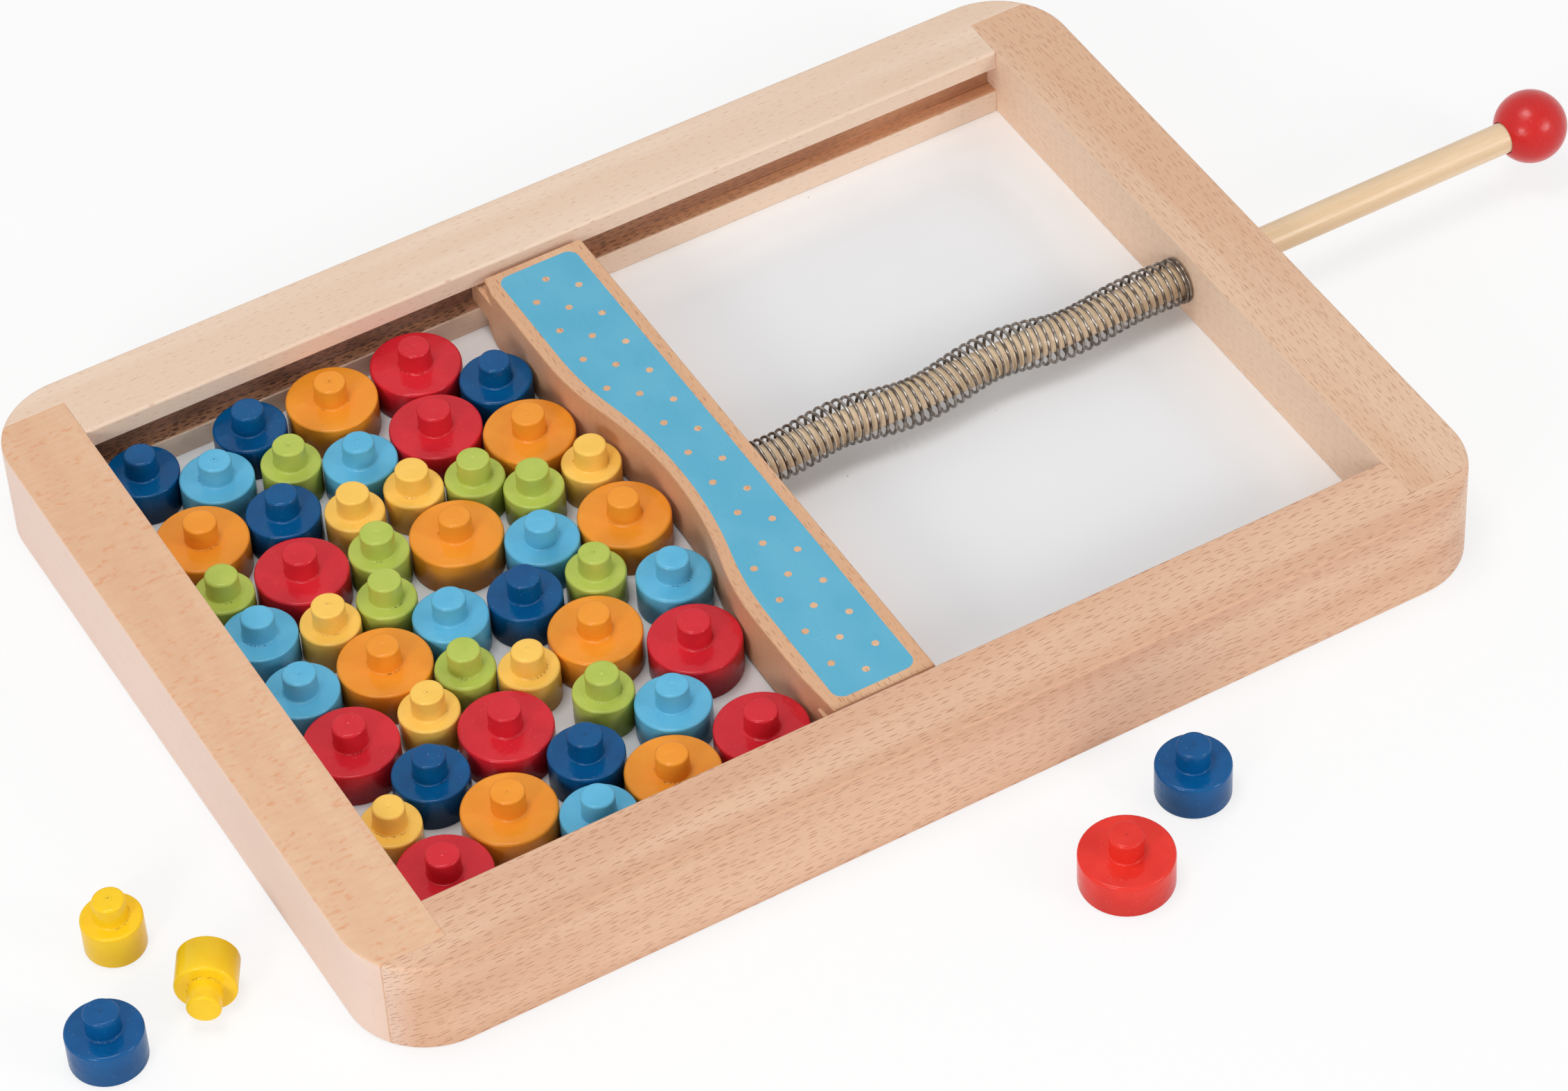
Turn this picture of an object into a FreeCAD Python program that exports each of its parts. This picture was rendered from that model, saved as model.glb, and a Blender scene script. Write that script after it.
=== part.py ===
# Peg tray game: a wooden frame with a panel, a sprung bar on a pull rod, and loose round pegs
# The origin is the middle of the frame's underside: X along the rod, Y to the back, Z up

import FreeCAD, Part
import Sketcher
import math
import os

doc = FreeCAD.newDocument("PegTray")

# Driving sizes in millimetres, and the spring's turns as counts
drivingSizes = {
    "frameLength": 400,
    "frameWidth": 290,
    "frameHeight": 36.4,
    "railWidth": 27.5,
    "cornerRadius": 27.5,
    "jointCheek": 11,
    "frameEasing": 1,
    "grooveFloor": 18.5,
    "grooveHeight": 10.5,
    "grooveDepth": 6,
    "panelThickness": 9.5,
    "panelRebate": 5,
    "panelFit": 0.2,
    "barWidth": 38,
    "barHeight": 23,
    "barLift": 1,
    "barEndGap": 2.5,
    "barEasing": 0.8,
    "waistDepth": 9.25,
    "waistSpan": 69,
    "waistRadius": 150,
    "endTaper": 1.6,
    "backTaperLength": 8,
    "frontTaperLength": 19,
    "tongueRoot": 8,
    "tongueHeight": 9,
    "tongueLift": 0.2,
    "tongueEndGap": 1,
    "rodDiameter": 10.8,
    "rodLength": 323,
    "rodAxisHeight": 22.8,
    "rodSocketDepth": 15,
    "rodGlueFit": 0.05,
    "rodRunningFit": 0.1,
    "ballDiameter": 25.2,
    "ballSocketDepth": 15,
    "springWire": 1.3,
    "springDiameter": 16.2,
    "springTurns": 57,
    "springEndTurns": 2,
    "springEndGap": 0.5,
    "springBend": 1.6,
    "springSway": 1.1,
    "springSwayWave": 63,
    "springSwayStart": 22,
    "springSwayFade": 20,
    "pegLarge": 30.6,
    "pegMedium": 24.5,
    "pegSmall": 19.8,
    "pegBodyHeight": 13,
    "pegKnobDiameter": 11,
    "pegKnobHeight": 8,
    "pegKnobEasing": 1,
    "pegGap": 0.3,
}

# Pegs in the tray: each colour's size, and places along from the left rail and back from the middle
trayPegs = {
    "red": ("pegLarge", [(111, 104), (102, 73), (37, 38), (16, -37), (60, -57), (128, -56), (127, -100),
                         (16, -100)]),
    "orange": ("pegLarge", [(80, 103), (16, 67), (86, 25), (127, 54), (135, 4), (41, -13), (103, -36),
                            (45, -88), (95, -101)]),
    "navy": ("pegMedium", [(13, 106), (51, 106), (44, 65), (130, 82), (92, -10), (31, -62), (76, -80)]),
    "sky": ("pegMedium", [(33, 91), (75, 73), (108, 9), (136, -28), (67, -6), (12, 19), (13, -10), (109, -76),
                          (67, -104)]),
    "green": ("pegSmall", [(56, 85), (103, 45), (117, 31), (62, 32), (54, 12), (11, 42), (116, -13),
                           (61, -28), (93, -60)]),
    "yellow": ("pegSmall", [(63, 52), (84, 52), (138, 31), (33, 12), (78, -39), (43, -38), (11, -74)]),
}

# Pegs left beside the tray: size, and places along from the middle and out from the front edge
pegsInFront = {"red": ("pegLarge", 27, 51), "navy": ("pegMedium", 64, 31)}

# Pegs left at the tray's end: size, and places out from the left edge and back from the middle
pegsAtLeft = {"navy": ("pegMedium", 69, -93), "yellow": ("pegSmall", 48, -54)}
lyingPegPlace = (29, -82)
lyingPegHeading = 240

# How finely the pegs are settled, and how finely outlines and turns are sampled
settlingSweeps = 400
settledWithin = 0.001
outlineStep = 0.5
samplesPerTurn = 24
wireSides = 6
turnStep = 0.001
tolerance = 0.001

sheet = doc.addObject("Spreadsheet::Sheet", "Sizes")
for row, (alias, size) in enumerate(drivingSizes.items(), start=1):
    sheet.set("A%d" % row, alias)
    sheet.set("B%d" % row, str(size))
    sheet.setAlias("B%d" % row, alias)
doc.recompute()

# Lengths that several pieces share, as formulas of the sheet
innerX = "(Sizes.frameLength / 2 - Sizes.railWidth)"
innerY = "(Sizes.frameWidth / 2 - Sizes.railWidth)"
outerX = "(Sizes.frameLength / 2)"
outerY = "(Sizes.frameWidth / 2)"
jointY = "(Sizes.frameWidth / 2 - Sizes.jointCheek)"
cornerRun = "sqrt(2 * Sizes.cornerRadius * Sizes.jointCheek - Sizes.jointCheek ^ 2)"
jointX = "(Sizes.frameLength / 2 - Sizes.cornerRadius + " + cornerRun + ")"
barBase = "(Sizes.panelThickness + Sizes.barLift)"
rodRadius = "(Sizes.rodDiameter / 2)"


def value(formula):
    return float(sheet.evalExpression(formula))


# A new body, the piece that its label names
def newBody(label):
    body = doc.addObject("PartDesign::Body", label)
    body.Label = label
    return body


# A sketch on one of the body's origin planes, lifted off it by a formula where one is given
def newSketch(body, plane, name, lift=None):
    sketch = body.newObject("Sketcher::SketchObject", body.Label + "_" + name)
    support = next(feature for feature in body.Origin.OriginFeatures if feature.Role == plane)
    sketch.AttachmentSupport = (support, "")
    sketch.MapMode = "FlatFace"
    if lift:
        sketch.setExpression("AttachmentOffset.Base.z", lift)
    return sketch


# Bind a sketch constraint to a formula
def bind(sketch, kind, geometry, formula, name):
    index = sketch.addConstraint(Sketcher.Constraint(kind, *geometry, value(formula)))
    sketch.renameConstraint(index, name)
    sketch.setExpression("Constraints." + name, formula)


# The point halfway along an arc that leaves its start along a direction
def arcMiddle(start, direction, end):
    chord = end - start
    heading = chord / chord.Length
    lean = direction.dot(heading)
    aside = direction - heading * lean
    return start + chord * 0.5 + aside * (chord.Length / 2 / (1 + lean))


# The centre of an arc of a given radius, to the left of its way round where turn is 1, or right where -1
def arcCentre(start, end, radius, turn):
    chord = end - start
    left = FreeCAD.Vector(-chord.y, chord.x, 0) / chord.Length
    rise = math.sqrt(max(radius ** 2 - (chord.Length / 2) ** 2, 0))
    return start + chord * 0.5 + left * (turn * rise)


# A closed outline through corners given as pairs of formulas; a side in arcs has a radius and a turn
def drawOutline(sketch, corners, arcs={}):
    points = [FreeCAD.Vector(value(across), value(up), 0) for across, up in corners]
    firstSide = sketch.GeometryCount
    ends = []
    for side, start in enumerate(points):
        end = points[(side + 1) % len(points)]
        if side in arcs:
            radius, turn = arcs[side]
            centre = arcCentre(start, end, value(radius), turn)
            circle = Part.Circle(centre, FreeCAD.Vector(0, 0, 1), value(radius))
            low, high = (start, end) if turn > 0 else (end, start)
            angles = [math.atan2(point.y - centre.y, point.x - centre.x) for point in (low, high)]
            sketch.addGeometry(Part.ArcOfCircle(circle, *angles))
            ends.append((1, 2) if turn > 0 else (2, 1))
        else:
            sketch.addGeometry(Part.LineSegment(start, end))
            ends.append((1, 2))
    for side in range(len(points)):
        following = (side + 1) % len(points)
        joint = Sketcher.Constraint("Coincident", firstSide + side, ends[side][1],
                                    firstSide + following, ends[following][0])
        sketch.addConstraint(joint)
    for side, (across, up) in enumerate(corners):
        corner = (-1, 1, firstSide + side, ends[side][0])
        bind(sketch, "DistanceX", corner, across, "across%d" % (firstSide + side))
        bind(sketch, "DistanceY", corner, up, "up%d" % (firstSide + side))
    for side, (radius, turn) in arcs.items():
        bind(sketch, "Radius", (firstSide + side,), radius, "radius%d" % (firstSide + side))


def drawRectangle(sketch, left, right, bottom, top):
    drawOutline(sketch, [(left, bottom), (right, bottom), (right, top), (left, top)])


def drawCircle(sketch, across, up, radius):
    circle = Part.Circle(FreeCAD.Vector(value(across), value(up), 0), FreeCAD.Vector(0, 0, 1), value(radius))
    index = sketch.addGeometry(circle)
    bind(sketch, "DistanceX", (-1, 1, index, 3), across, "across%d" % index)
    bind(sketch, "DistanceY", (-1, 1, index, 3), up, "up%d" % index)
    bind(sketch, "Radius", (index,), radius, "radius%d" % index)


def pad(body, sketch, length):
    feature = body.newObject("PartDesign::Pad", sketch.Label + "_pad")
    feature.Profile = sketch
    feature.setExpression("Length", length)
    doc.recompute()
    return feature


# Cut a sketch into the body: to a depth, along the sketch's normal or against it, or right through both ways
def pocket(body, sketch, depth=None, alongNormal=False):
    volumeBefore = body.Shape.Volume
    feature = body.newObject("PartDesign::Pocket", sketch.Label + "_cut")
    feature.Profile = sketch
    if depth:
        feature.setExpression("Length", depth)
        feature.Reversed = alongNormal
    else:
        feature.Type = "ThroughAll"
        feature.SideType = "Symmetric"
    doc.recompute()
    if body.Shape.Volume >= volumeBefore:
        raise ValueError(feature.Label + " cuts nothing")
    return feature


def revolve(body, sketch, axis):
    feature = body.newObject("PartDesign::Revolution", sketch.Label + "_turned")
    feature.Profile = sketch
    feature.ReferenceAxis = (sketch, [axis])
    feature.Angle = 360
    return feature


# Round the top edges of the body's last feature that pass a test of their middle point
def easeTop(body, height, radius, isEased):
    solid = body.Tip
    names = []
    for number, edge in enumerate(solid.Shape.Edges, start=1):
        middle = edge.valueAt((edge.FirstParameter + edge.LastParameter) / 2)
        levels = [vertex.Z for vertex in edge.Vertexes]
        if min(levels) > value(height) - tolerance and isEased(middle):
            names.append("Edge%d" % number)
    feature = body.newObject("PartDesign::Fillet", body.Label + "_easing")
    feature.Base = (solid, names)
    feature.setExpression("Radius", radius)
    doc.recompute()


def place(piece, x, y, z, heading=0):
    turn = FreeCAD.Rotation(FreeCAD.Vector(0, 0, 1), heading)
    piece.Placement = FreeCAD.Placement(FreeCAD.Vector(x, y, z), turn)


# Long rail, drawn as the back one: rounded ends, cheeks that cover the short rails, groove and panel rebate
def makeLongRail(label, heading):
    body = newBody(label)
    outline = newSketch(body, "XY_Plane", "outline")
    arcStart = "(Sizes.frameLength / 2 - Sizes.cornerRadius)"
    corners = [
        ("-" + innerX, innerY),
        (innerX, innerY),
        (innerX, jointY),
        (jointX, jointY),
        (arcStart, outerY),
        ("-" + arcStart, outerY),
        ("-" + jointX, jointY),
        ("-" + innerX, jointY),
    ]
    drawOutline(outline, corners, {3: ("Sizes.cornerRadius", 1), 5: ("Sizes.cornerRadius", 1)})
    pad(body, outline, "Sizes.frameHeight")
    shoulderY = value(jointY)
    farX = value(innerX)
    easeTop(body, "Sizes.frameHeight", "Sizes.frameEasing",
            lambda middle: middle.y > shoulderY + tolerance or
            (middle.y < shoulderY - tolerance and abs(middle.x) < farX - tolerance))
    groove = newSketch(body, "YZ_Plane", "groove")
    drawRectangle(groove, innerY, innerY + " + Sizes.grooveDepth", "Sizes.grooveFloor",
                  "Sizes.grooveFloor + Sizes.grooveHeight")
    pocket(body, groove)
    rebate = newSketch(body, "YZ_Plane", "rebate")
    drawRectangle(rebate, innerY, innerY + " + Sizes.panelRebate", "0", "Sizes.panelThickness")
    pocket(body, rebate)
    place(body, 0, 0, 0, heading)
    return body


# Short rail, drawn as the right one: it fits between the cheeks and may have the rod's hole
def makeShortRail(label, heading, hasRodHole):
    body = newBody(label)
    outline = newSketch(body, "XY_Plane", "outline")
    arcStart = "(Sizes.frameWidth / 2 - Sizes.cornerRadius)"
    corners = [
        (innerX, "-" + jointY),
        (jointX, "-" + jointY),
        (outerX, "-" + arcStart),
        (outerX, arcStart),
        (jointX, jointY),
        (innerX, jointY),
    ]
    drawOutline(outline, corners, {1: ("Sizes.cornerRadius", 1), 3: ("Sizes.cornerRadius", 1)})
    pad(body, outline, "Sizes.frameHeight")
    shoulderY = value(jointY)
    nearX = value(innerX)
    easeTop(body, "Sizes.frameHeight", "Sizes.frameEasing",
            lambda middle: middle.x > nearX + tolerance and abs(middle.y) < shoulderY - tolerance)
    rebate = newSketch(body, "XY_Plane", "rebate")
    reachY = "(" + innerY + " + Sizes.panelRebate)"
    drawRectangle(rebate, innerX, innerX + " + Sizes.panelRebate", "-" + reachY, reachY)
    pocket(body, rebate, "Sizes.panelThickness", alongNormal=True)
    if hasRodHole:
        hole = newSketch(body, "YZ_Plane", "rod_hole")
        drawCircle(hole, "0", "Sizes.rodAxisHeight", rodRadius + " + Sizes.rodRunningFit")
        pocket(body, hole)
    place(body, 0, 0, 0, heading)
    return body


# Panel that is let into the rails from below, its top the tray's floor
def makePanel(label):
    panel = doc.addObject("Part::Box", label)
    panel.Label = label
    panel.setExpression("Length", "2 * (" + innerX + " + Sizes.panelRebate - Sizes.panelFit)")
    panel.setExpression("Width", "2 * (" + innerY + " + Sizes.panelRebate - Sizes.panelFit)")
    panel.setExpression("Height", "Sizes.panelThickness")
    panel.setExpression("Placement.Base.x", "-Length / 2")
    panel.setExpression("Placement.Base.y", "-Width / 2")
    return panel


# Bar that slides between the long rails: a block with a waisted left side and a tongue at each end
# Its own origin is on its flat right side, at the middle of its length, on its underside
def makeBar(label):
    body = newBody(label)
    outline = newSketch(body, "XY_Plane", "outline")
    endY = "(" + innerY + " - Sizes.barEndGap)"
    wide = "-Sizes.barWidth"
    bothRadii = "((Sizes.waistSpan ^ 2 + Sizes.waistDepth ^ 2) / (2 * Sizes.waistDepth))"
    shoulderRadius = bothRadii + " - Sizes.waistRadius"
    meetX = wide + " + Sizes.waistDepth * (1 - Sizes.waistRadius / " + bothRadii + ")"
    meetY = "Sizes.waistSpan * Sizes.waistRadius / " + bothRadii
    corners = [
        ("0", "-" + endY),
        ("0", endY),
        (wide + " + Sizes.endTaper", endY),
        (wide, endY + " - Sizes.backTaperLength"),
        (wide, "Sizes.waistSpan"),
        (meetX, meetY),
        (meetX, "-" + meetY),
        (wide, "-Sizes.waistSpan"),
        (wide, "-" + endY + " + Sizes.frontTaperLength"),
        (wide + " + Sizes.endTaper", "-" + endY),
    ]
    arcs = {4: (shoulderRadius, 1), 5: ("Sizes.waistRadius", -1), 6: (shoulderRadius, 1)}
    drawOutline(outline, corners, arcs)
    pad(body, outline, "Sizes.barHeight")
    easeTop(body, "Sizes.barHeight", "Sizes.barEasing", lambda middle: True)
    tongues = newSketch(body, "XY_Plane", "tongues", "Sizes.grooveFloor + Sizes.tongueLift - " + barBase)
    nearY = "(" + endY + " - Sizes.tongueRoot)"
    tipY = "(" + innerY + " + Sizes.grooveDepth - Sizes.tongueEndGap)"
    drawRectangle(tongues, wide, "0", nearY, tipY)
    drawRectangle(tongues, wide, "0", "-" + tipY, "-" + nearY)
    pad(body, tongues, "Sizes.tongueHeight")
    socket = newSketch(body, "YZ_Plane", "rod_socket")
    drawCircle(socket, "0", "Sizes.rodAxisHeight - " + barBase, rodRadius + " + Sizes.rodGlueFit")
    pocket(body, socket, "Sizes.rodSocketDepth")
    return body, outline


# Pull rod along X, its own origin at the middle of its left end
def makeRod(label):
    body = newBody(label)
    section = newSketch(body, "YZ_Plane", "section")
    drawCircle(section, "0", "0", rodRadius)
    pad(body, section, "Sizes.rodLength")
    return body


# Ball handle, turned about X with a blind socket for the rod; its own origin is the socket's bottom
def makeBall(label):
    body = newBody(label)
    profile = newSketch(body, "XZ_Plane", "profile")
    ballRadius = "(Sizes.ballDiameter / 2)"
    socketRadius = "(" + rodRadius + " + Sizes.rodGlueFit)"
    mouthX = "-Sizes.ballSocketDepth"
    centreX = "(" + mouthX + " + sqrt(" + ballRadius + " ^ 2 - " + socketRadius + " ^ 2))"
    corners = [
        ("0", "0"),
        ("0", socketRadius),
        (mouthX, socketRadius),
        (centreX, ballRadius),
        (centreX + " + " + ballRadius, "0"),
    ]
    drawOutline(profile, corners, {2: (ballRadius, -1), 3: (ballRadius, -1)})
    revolve(body, profile, "H_Axis")
    return body


# Peg of one diameter: a low round body with a knob on top, turned about Z
def makePeg(label, diameter):
    body = newBody(label)
    profile = newSketch(body, "XZ_Plane", "profile")
    bodyRadius = "(Sizes." + diameter + " / 2)"
    knobRadius = "(Sizes.pegKnobDiameter / 2)"
    topZ = "(Sizes.pegBodyHeight + Sizes.pegKnobHeight)"
    corners = [
        ("0", "0"),
        (bodyRadius, "0"),
        (bodyRadius, "Sizes.pegBodyHeight"),
        (knobRadius, "Sizes.pegBodyHeight"),
        (knobRadius, topZ + " - Sizes.pegKnobEasing"),
        (knobRadius + " - Sizes.pegKnobEasing", topZ),
        ("0", topZ),
    ]
    drawOutline(profile, corners)
    revolve(body, profile, "V_Axis")
    return body


# Push tray pegs apart until every pair and every wall is clear by the peg gap
def settlePegs(pegs):
    gap = value("Sizes.pegGap")
    leftWall = -value(innerX) + gap
    sideWall = value(innerY) - gap
    for sweep in range(settlingSweeps):
        worst = 0
        for index, peg in enumerate(pegs):
            for other in pegs[:index]:
                apart = math.hypot(peg["x"] - other["x"], peg["y"] - other["y"])
                lacking = peg["radius"] + other["radius"] + gap - apart
                if lacking > 0:
                    worst = max(worst, lacking)
                    shiftX = (peg["x"] - other["x"]) / apart * lacking / 2
                    shiftY = (peg["y"] - other["y"]) / apart * lacking / 2
                    peg["x"] += shiftX
                    peg["y"] += shiftY
                    other["x"] -= shiftX
                    other["y"] -= shiftY
        for peg in pegs:
            peg["x"] = max(peg["x"], leftWall + peg["radius"])
            peg["y"] = min(max(peg["y"], peg["radius"] - sideWall), sideWall - peg["radius"])
        if worst < settledWithin:
            break
    return worst


# How far left the bar's right side can come before its outline is a peg gap from the first peg
def barRestX(outline, pegs):
    points = [point for edge in outline.Shape.Edges for point in edge.discretize(Distance=outlineStep)]
    rest = -value(innerX)
    for peg in pegs:
        reach = peg["radius"] + value("Sizes.pegGap")
        for point in points:
            aside = point.y - peg["y"]
            if abs(aside) < reach:
                rest = max(rest, peg["x"] - point.x + math.sqrt(reach ** 2 - aside ** 2))
    return rest


# Two arcs that join two points along given directions
def biarc(start, startDirection, end, endDirection):
    chord = end - start
    directions = startDirection + endDirection
    square = 2 * (startDirection.dot(endDirection) - 1)
    linear = -2 * chord.dot(directions)
    reach = (-linear - math.sqrt(linear ** 2 - 4 * square * chord.dot(chord))) / (2 * square)
    startHandle = start + startDirection * reach
    endHandle = end - endDirection * reach
    middle = (startHandle + endHandle) * 0.5
    middleDirection = (endHandle - startHandle).normalize()
    return [
        Part.Arc(start, arcMiddle(start, startDirection, middle), middle).toShape(),
        Part.Arc(middle, arcMiddle(middle, middleDirection, end), end).toShape(),
    ]


# Compression spring along X from the bar's side to the right rail: one wire whose turns sway about the rod
# The wire's ends bend to run straight into the wood, and its section is a hexagon that keeps the faces few
def makeSpring(label, length):
    wire = value("Sizes.springWire")
    coilRadius = (value("Sizes.springDiameter") - wire) / 2
    turns = int(value("Sizes.springTurns"))
    endTurns = value("Sizes.springEndTurns")
    endPitch = wire + value("Sizes.springEndGap")
    bend = value("Sizes.springBend")
    swaySize = value("Sizes.springSway") / math.sqrt(2)
    swayWave = value("Sizes.springSwayWave")
    swayStart = value("Sizes.springSwayStart")
    swayFade = value("Sizes.springSwayFade")
    axis = FreeCAD.Vector(1, 0, 0)
    endLean = endPitch / math.hypot(2 * math.pi * coilRadius, endPitch)
    lead = wire + bend * math.sqrt(1 - endLean ** 2)
    openPitch = (length - 2 * lead - 2 * endTurns * endPitch) / (turns - 2 * endTurns)

    def point(turn):
        closedTurns = min(turn, endTurns) + max(turn - turns + endTurns, 0)
        x = lead + closedTurns * endPitch + (turn - closedTurns) * openPitch
        fade = min(1, x / swayFade, (length - x) / swayFade)
        offset = swaySize * fade * math.sin(2 * math.pi * (x - swayStart) / swayWave)
        angle = 2 * math.pi * turn
        return FreeCAD.Vector(x, offset + coilRadius * math.cos(angle), offset + coilRadius * math.sin(angle))

    def direction(turn):
        return (point(min(turn + turnStep, turns)) - point(max(turn - turnStep, 0))).normalize()

    # Where the bend beside an end turn begins, on the side of the start or the end
    def bendPoint(turn, side):
        lean = direction(turn)
        reach = bend * math.sqrt((1 - lean.x) / (1 + lean.x))
        return point(turn) + (axis + lean) * (side * reach)

    firstBend = bendPoint(0, -1)
    firstFace = FreeCAD.Vector(0, firstBend.y, firstBend.z)
    lastBend = bendPoint(turns, 1)
    lastFace = FreeCAD.Vector(length, lastBend.y, lastBend.z)
    edges = [
        Part.LineSegment(firstFace, firstBend).toShape(),
        Part.Arc(firstBend, arcMiddle(firstBend, axis, point(0)), point(0)).toShape(),
    ]
    halfTurns = [half / 2 for half in range(2 * turns + 1)]
    for start, end in zip(halfTurns, halfTurns[1:]):
        edges += biarc(point(start), direction(start), point(end), direction(end))
    edges += [
        Part.Arc(point(turns), arcMiddle(point(turns), direction(turns), lastBend), lastBend).toShape(),
        Part.LineSegment(lastBend, lastFace).toShape(),
    ]
    path = Part.Wire(edges)

    corners = []
    for corner in range(wireSides + 1):
        angle = 2 * math.pi * corner / wireSides
        corners.append(firstFace + FreeCAD.Vector(0, math.cos(angle), math.sin(angle)) * (wire / 2))
    shell = Part.BRepOffsetAPI.MakePipeShell(path)
    shell.add(Part.makePolygon(corners))
    shell.build()
    shell.makeSolid()
    spring = doc.addObject("Part::Feature", label)
    spring.Label = label
    spring.Shape = shell.shape()

    turnPoints = [point(sample / samplesPerTurn) for sample in range(turns * samplesPerTurn + 1)]
    wirePoints = [firstFace, firstBend] + turnPoints + [lastBend, lastFace]
    leastGap = min(
        wirePoints[near].distanceToPoint(wirePoints[far]) - wire
        for near in range(len(wirePoints))
        for far in range(near + samplesPerTurn // 2 + 2, min(near + 2 * samplesPerTurn, len(wirePoints)))
    )
    sectionArea = wireSides * math.sin(2 * math.pi / wireSides) / 2 * (wire / 2) ** 2
    print("Spring: length %.2f, pitch %.2f, least gap to itself %.2f, volume %.1f of %.1f"
          % (length, openPitch, leastGap, spring.Shape.Volume, sectionArea * path.Length))
    return spring


longRailBack = makeLongRail("rail_back", 0)
longRailFront = makeLongRail("rail_front", 180)
shortRailRight = makeShortRail("rail_right", 0, True)
shortRailLeft = makeShortRail("rail_left", 180, False)
panel = makePanel("base_panel")
bar, barOutline = makeBar("slider_bar")
rod = makeRod("pull_rod")
ball = makeBall("pull_ball")
subParts = [longRailBack, longRailFront, shortRailRight, shortRailLeft, panel, bar, rod, ball]
print("Frame, bar and rod are drawn")

pegs = []
for colour, (size, places) in trayPegs.items():
    for number, (along, back) in enumerate(places, start=1):
        piece = makePeg("peg_%s_%d" % (colour, number), size)
        radius = value("Sizes." + size) / 2
        pegs.append({"piece": piece, "x": along - value(innerX), "y": back, "radius": radius})
left = settlePegs(pegs)
floor = value("Sizes.panelThickness")
for peg in pegs:
    place(peg["piece"], peg["x"], peg["y"], floor)
    subParts.append(peg["piece"])
print("Pegs in the tray: %d, overlap left %.4f" % (len(pegs), left))

barX = barRestX(barOutline, pegs)
springLength = value(innerX) - barX
rodStart = barX - value("Sizes.rodSocketDepth")
rodHeight = value("Sizes.rodAxisHeight")
place(bar, barX, 0, value(barBase))
place(rod, rodStart, 0, rodHeight)
place(ball, rodStart + value("Sizes.rodLength"), 0, rodHeight)
spring = makeSpring("spring", springLength)
place(spring, barX, 0, rodHeight)
subParts.append(spring)
print("Bar rests with its right side at x %.2f" % barX)

# Pegs beside the tray stand or lie on the ground, a group at each side
inFront = []
for colour, (size, along, out) in pegsInFront.items():
    piece = makePeg("front_" + colour, size)
    place(piece, along, -value(outerY) - out, 0)
    inFront.append(piece)
atLeft = []
for colour, (size, out, back) in pegsAtLeft.items():
    piece = makePeg("left_" + colour, size)
    place(piece, -value(outerX) - out, back, 0)
    atLeft.append(piece)
lying = makePeg("left_lying", "pegSmall")
lyingOut, lyingBack = lyingPegPlace
tipped = FreeCAD.Rotation(FreeCAD.Vector(0, 1, 0), 90)
headed = FreeCAD.Rotation(FreeCAD.Vector(0, 0, 1), lyingPegHeading)
lyingBase = FreeCAD.Vector(-value(outerX) - lyingOut, lyingBack, value("Sizes.pegSmall / 2"))
lying.Placement = FreeCAD.Placement(lyingBase, headed.multiply(tipped))
atLeft.append(lying)
for label, members in {"loose_pegs_front": inFront, "loose_pegs_left": atLeft}.items():
    group = doc.addObject("Part::Compound", label)
    group.Label = label
    group.Links = members
    subParts.append(group)

doc.recompute()
for feature in doc.Objects:
    if "Invalid" in feature.State or "Error" in feature.State:
        raise ValueError(feature.Label + " failed")
for piece in subParts:
    if piece.Shape.isNull() or not piece.Shape.isValid():
        raise ValueError(piece.Label + " has no valid shape")

os.makedirs("parts", exist_ok=True)
for piece in subParts:
    piece.Shape.exportStep("parts/" + piece.Label + ".step")
print("Sub-parts written: %d" % len(subParts))
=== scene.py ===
# Looks of the sprung peg tray: beech frame, white panel, printed bar on a sprung rod, painted pegs
# Sizes are in millimetres, save the camera's place and the studio's, which are in metres
# X runs along the rod, Y to the back and Z up

import math
import random

import bmesh
import bpy
from mathutils import Color, Matrix, Vector


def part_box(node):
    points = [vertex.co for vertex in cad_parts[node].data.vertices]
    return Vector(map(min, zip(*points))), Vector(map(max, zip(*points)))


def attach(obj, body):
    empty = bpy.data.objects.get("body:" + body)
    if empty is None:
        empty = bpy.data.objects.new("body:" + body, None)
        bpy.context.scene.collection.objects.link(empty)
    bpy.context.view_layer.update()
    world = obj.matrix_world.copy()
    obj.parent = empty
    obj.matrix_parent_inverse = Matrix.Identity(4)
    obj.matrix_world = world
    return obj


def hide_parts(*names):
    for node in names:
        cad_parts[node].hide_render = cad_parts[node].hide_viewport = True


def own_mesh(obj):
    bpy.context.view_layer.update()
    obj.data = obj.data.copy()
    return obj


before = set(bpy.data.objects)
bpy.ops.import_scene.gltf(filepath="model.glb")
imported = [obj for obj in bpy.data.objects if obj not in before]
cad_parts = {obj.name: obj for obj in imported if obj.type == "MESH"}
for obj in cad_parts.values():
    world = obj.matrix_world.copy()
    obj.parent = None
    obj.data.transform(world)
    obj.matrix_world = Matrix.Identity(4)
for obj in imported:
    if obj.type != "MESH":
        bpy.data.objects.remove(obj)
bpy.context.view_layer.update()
metre = 0.001  # one millimetre
weld = 0.001  # points nearer than this are one, in millimetres
overshoot = 1  # how far a cutter reaches past the face it cuts
roundSides = 48  # sides of the rod and of round holes
cutSteps = 4  # steps of a rounded edge
easeSteps = 2  # steps of an edge that is only eased
sharpAngle = math.radians(40)  # edges bent by more than this look sharp
boardBox = [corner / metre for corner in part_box("base_panel")]
barBox = [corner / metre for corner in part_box("slider_bar")]
barSide = barBox[1].x  # the bar's flat right side

# The photograph's seat: looking down on the tray from the front left
camera = {
    "lens": 134.43,
    "sensor": 36,
    "azimuth": -27.489,
    "elevation": 45.698,
    "roll": -3.506,
    "place": (-0.60166, -1.19116, 1.35687),
    "clip": (0.05, 50),
}


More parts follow.
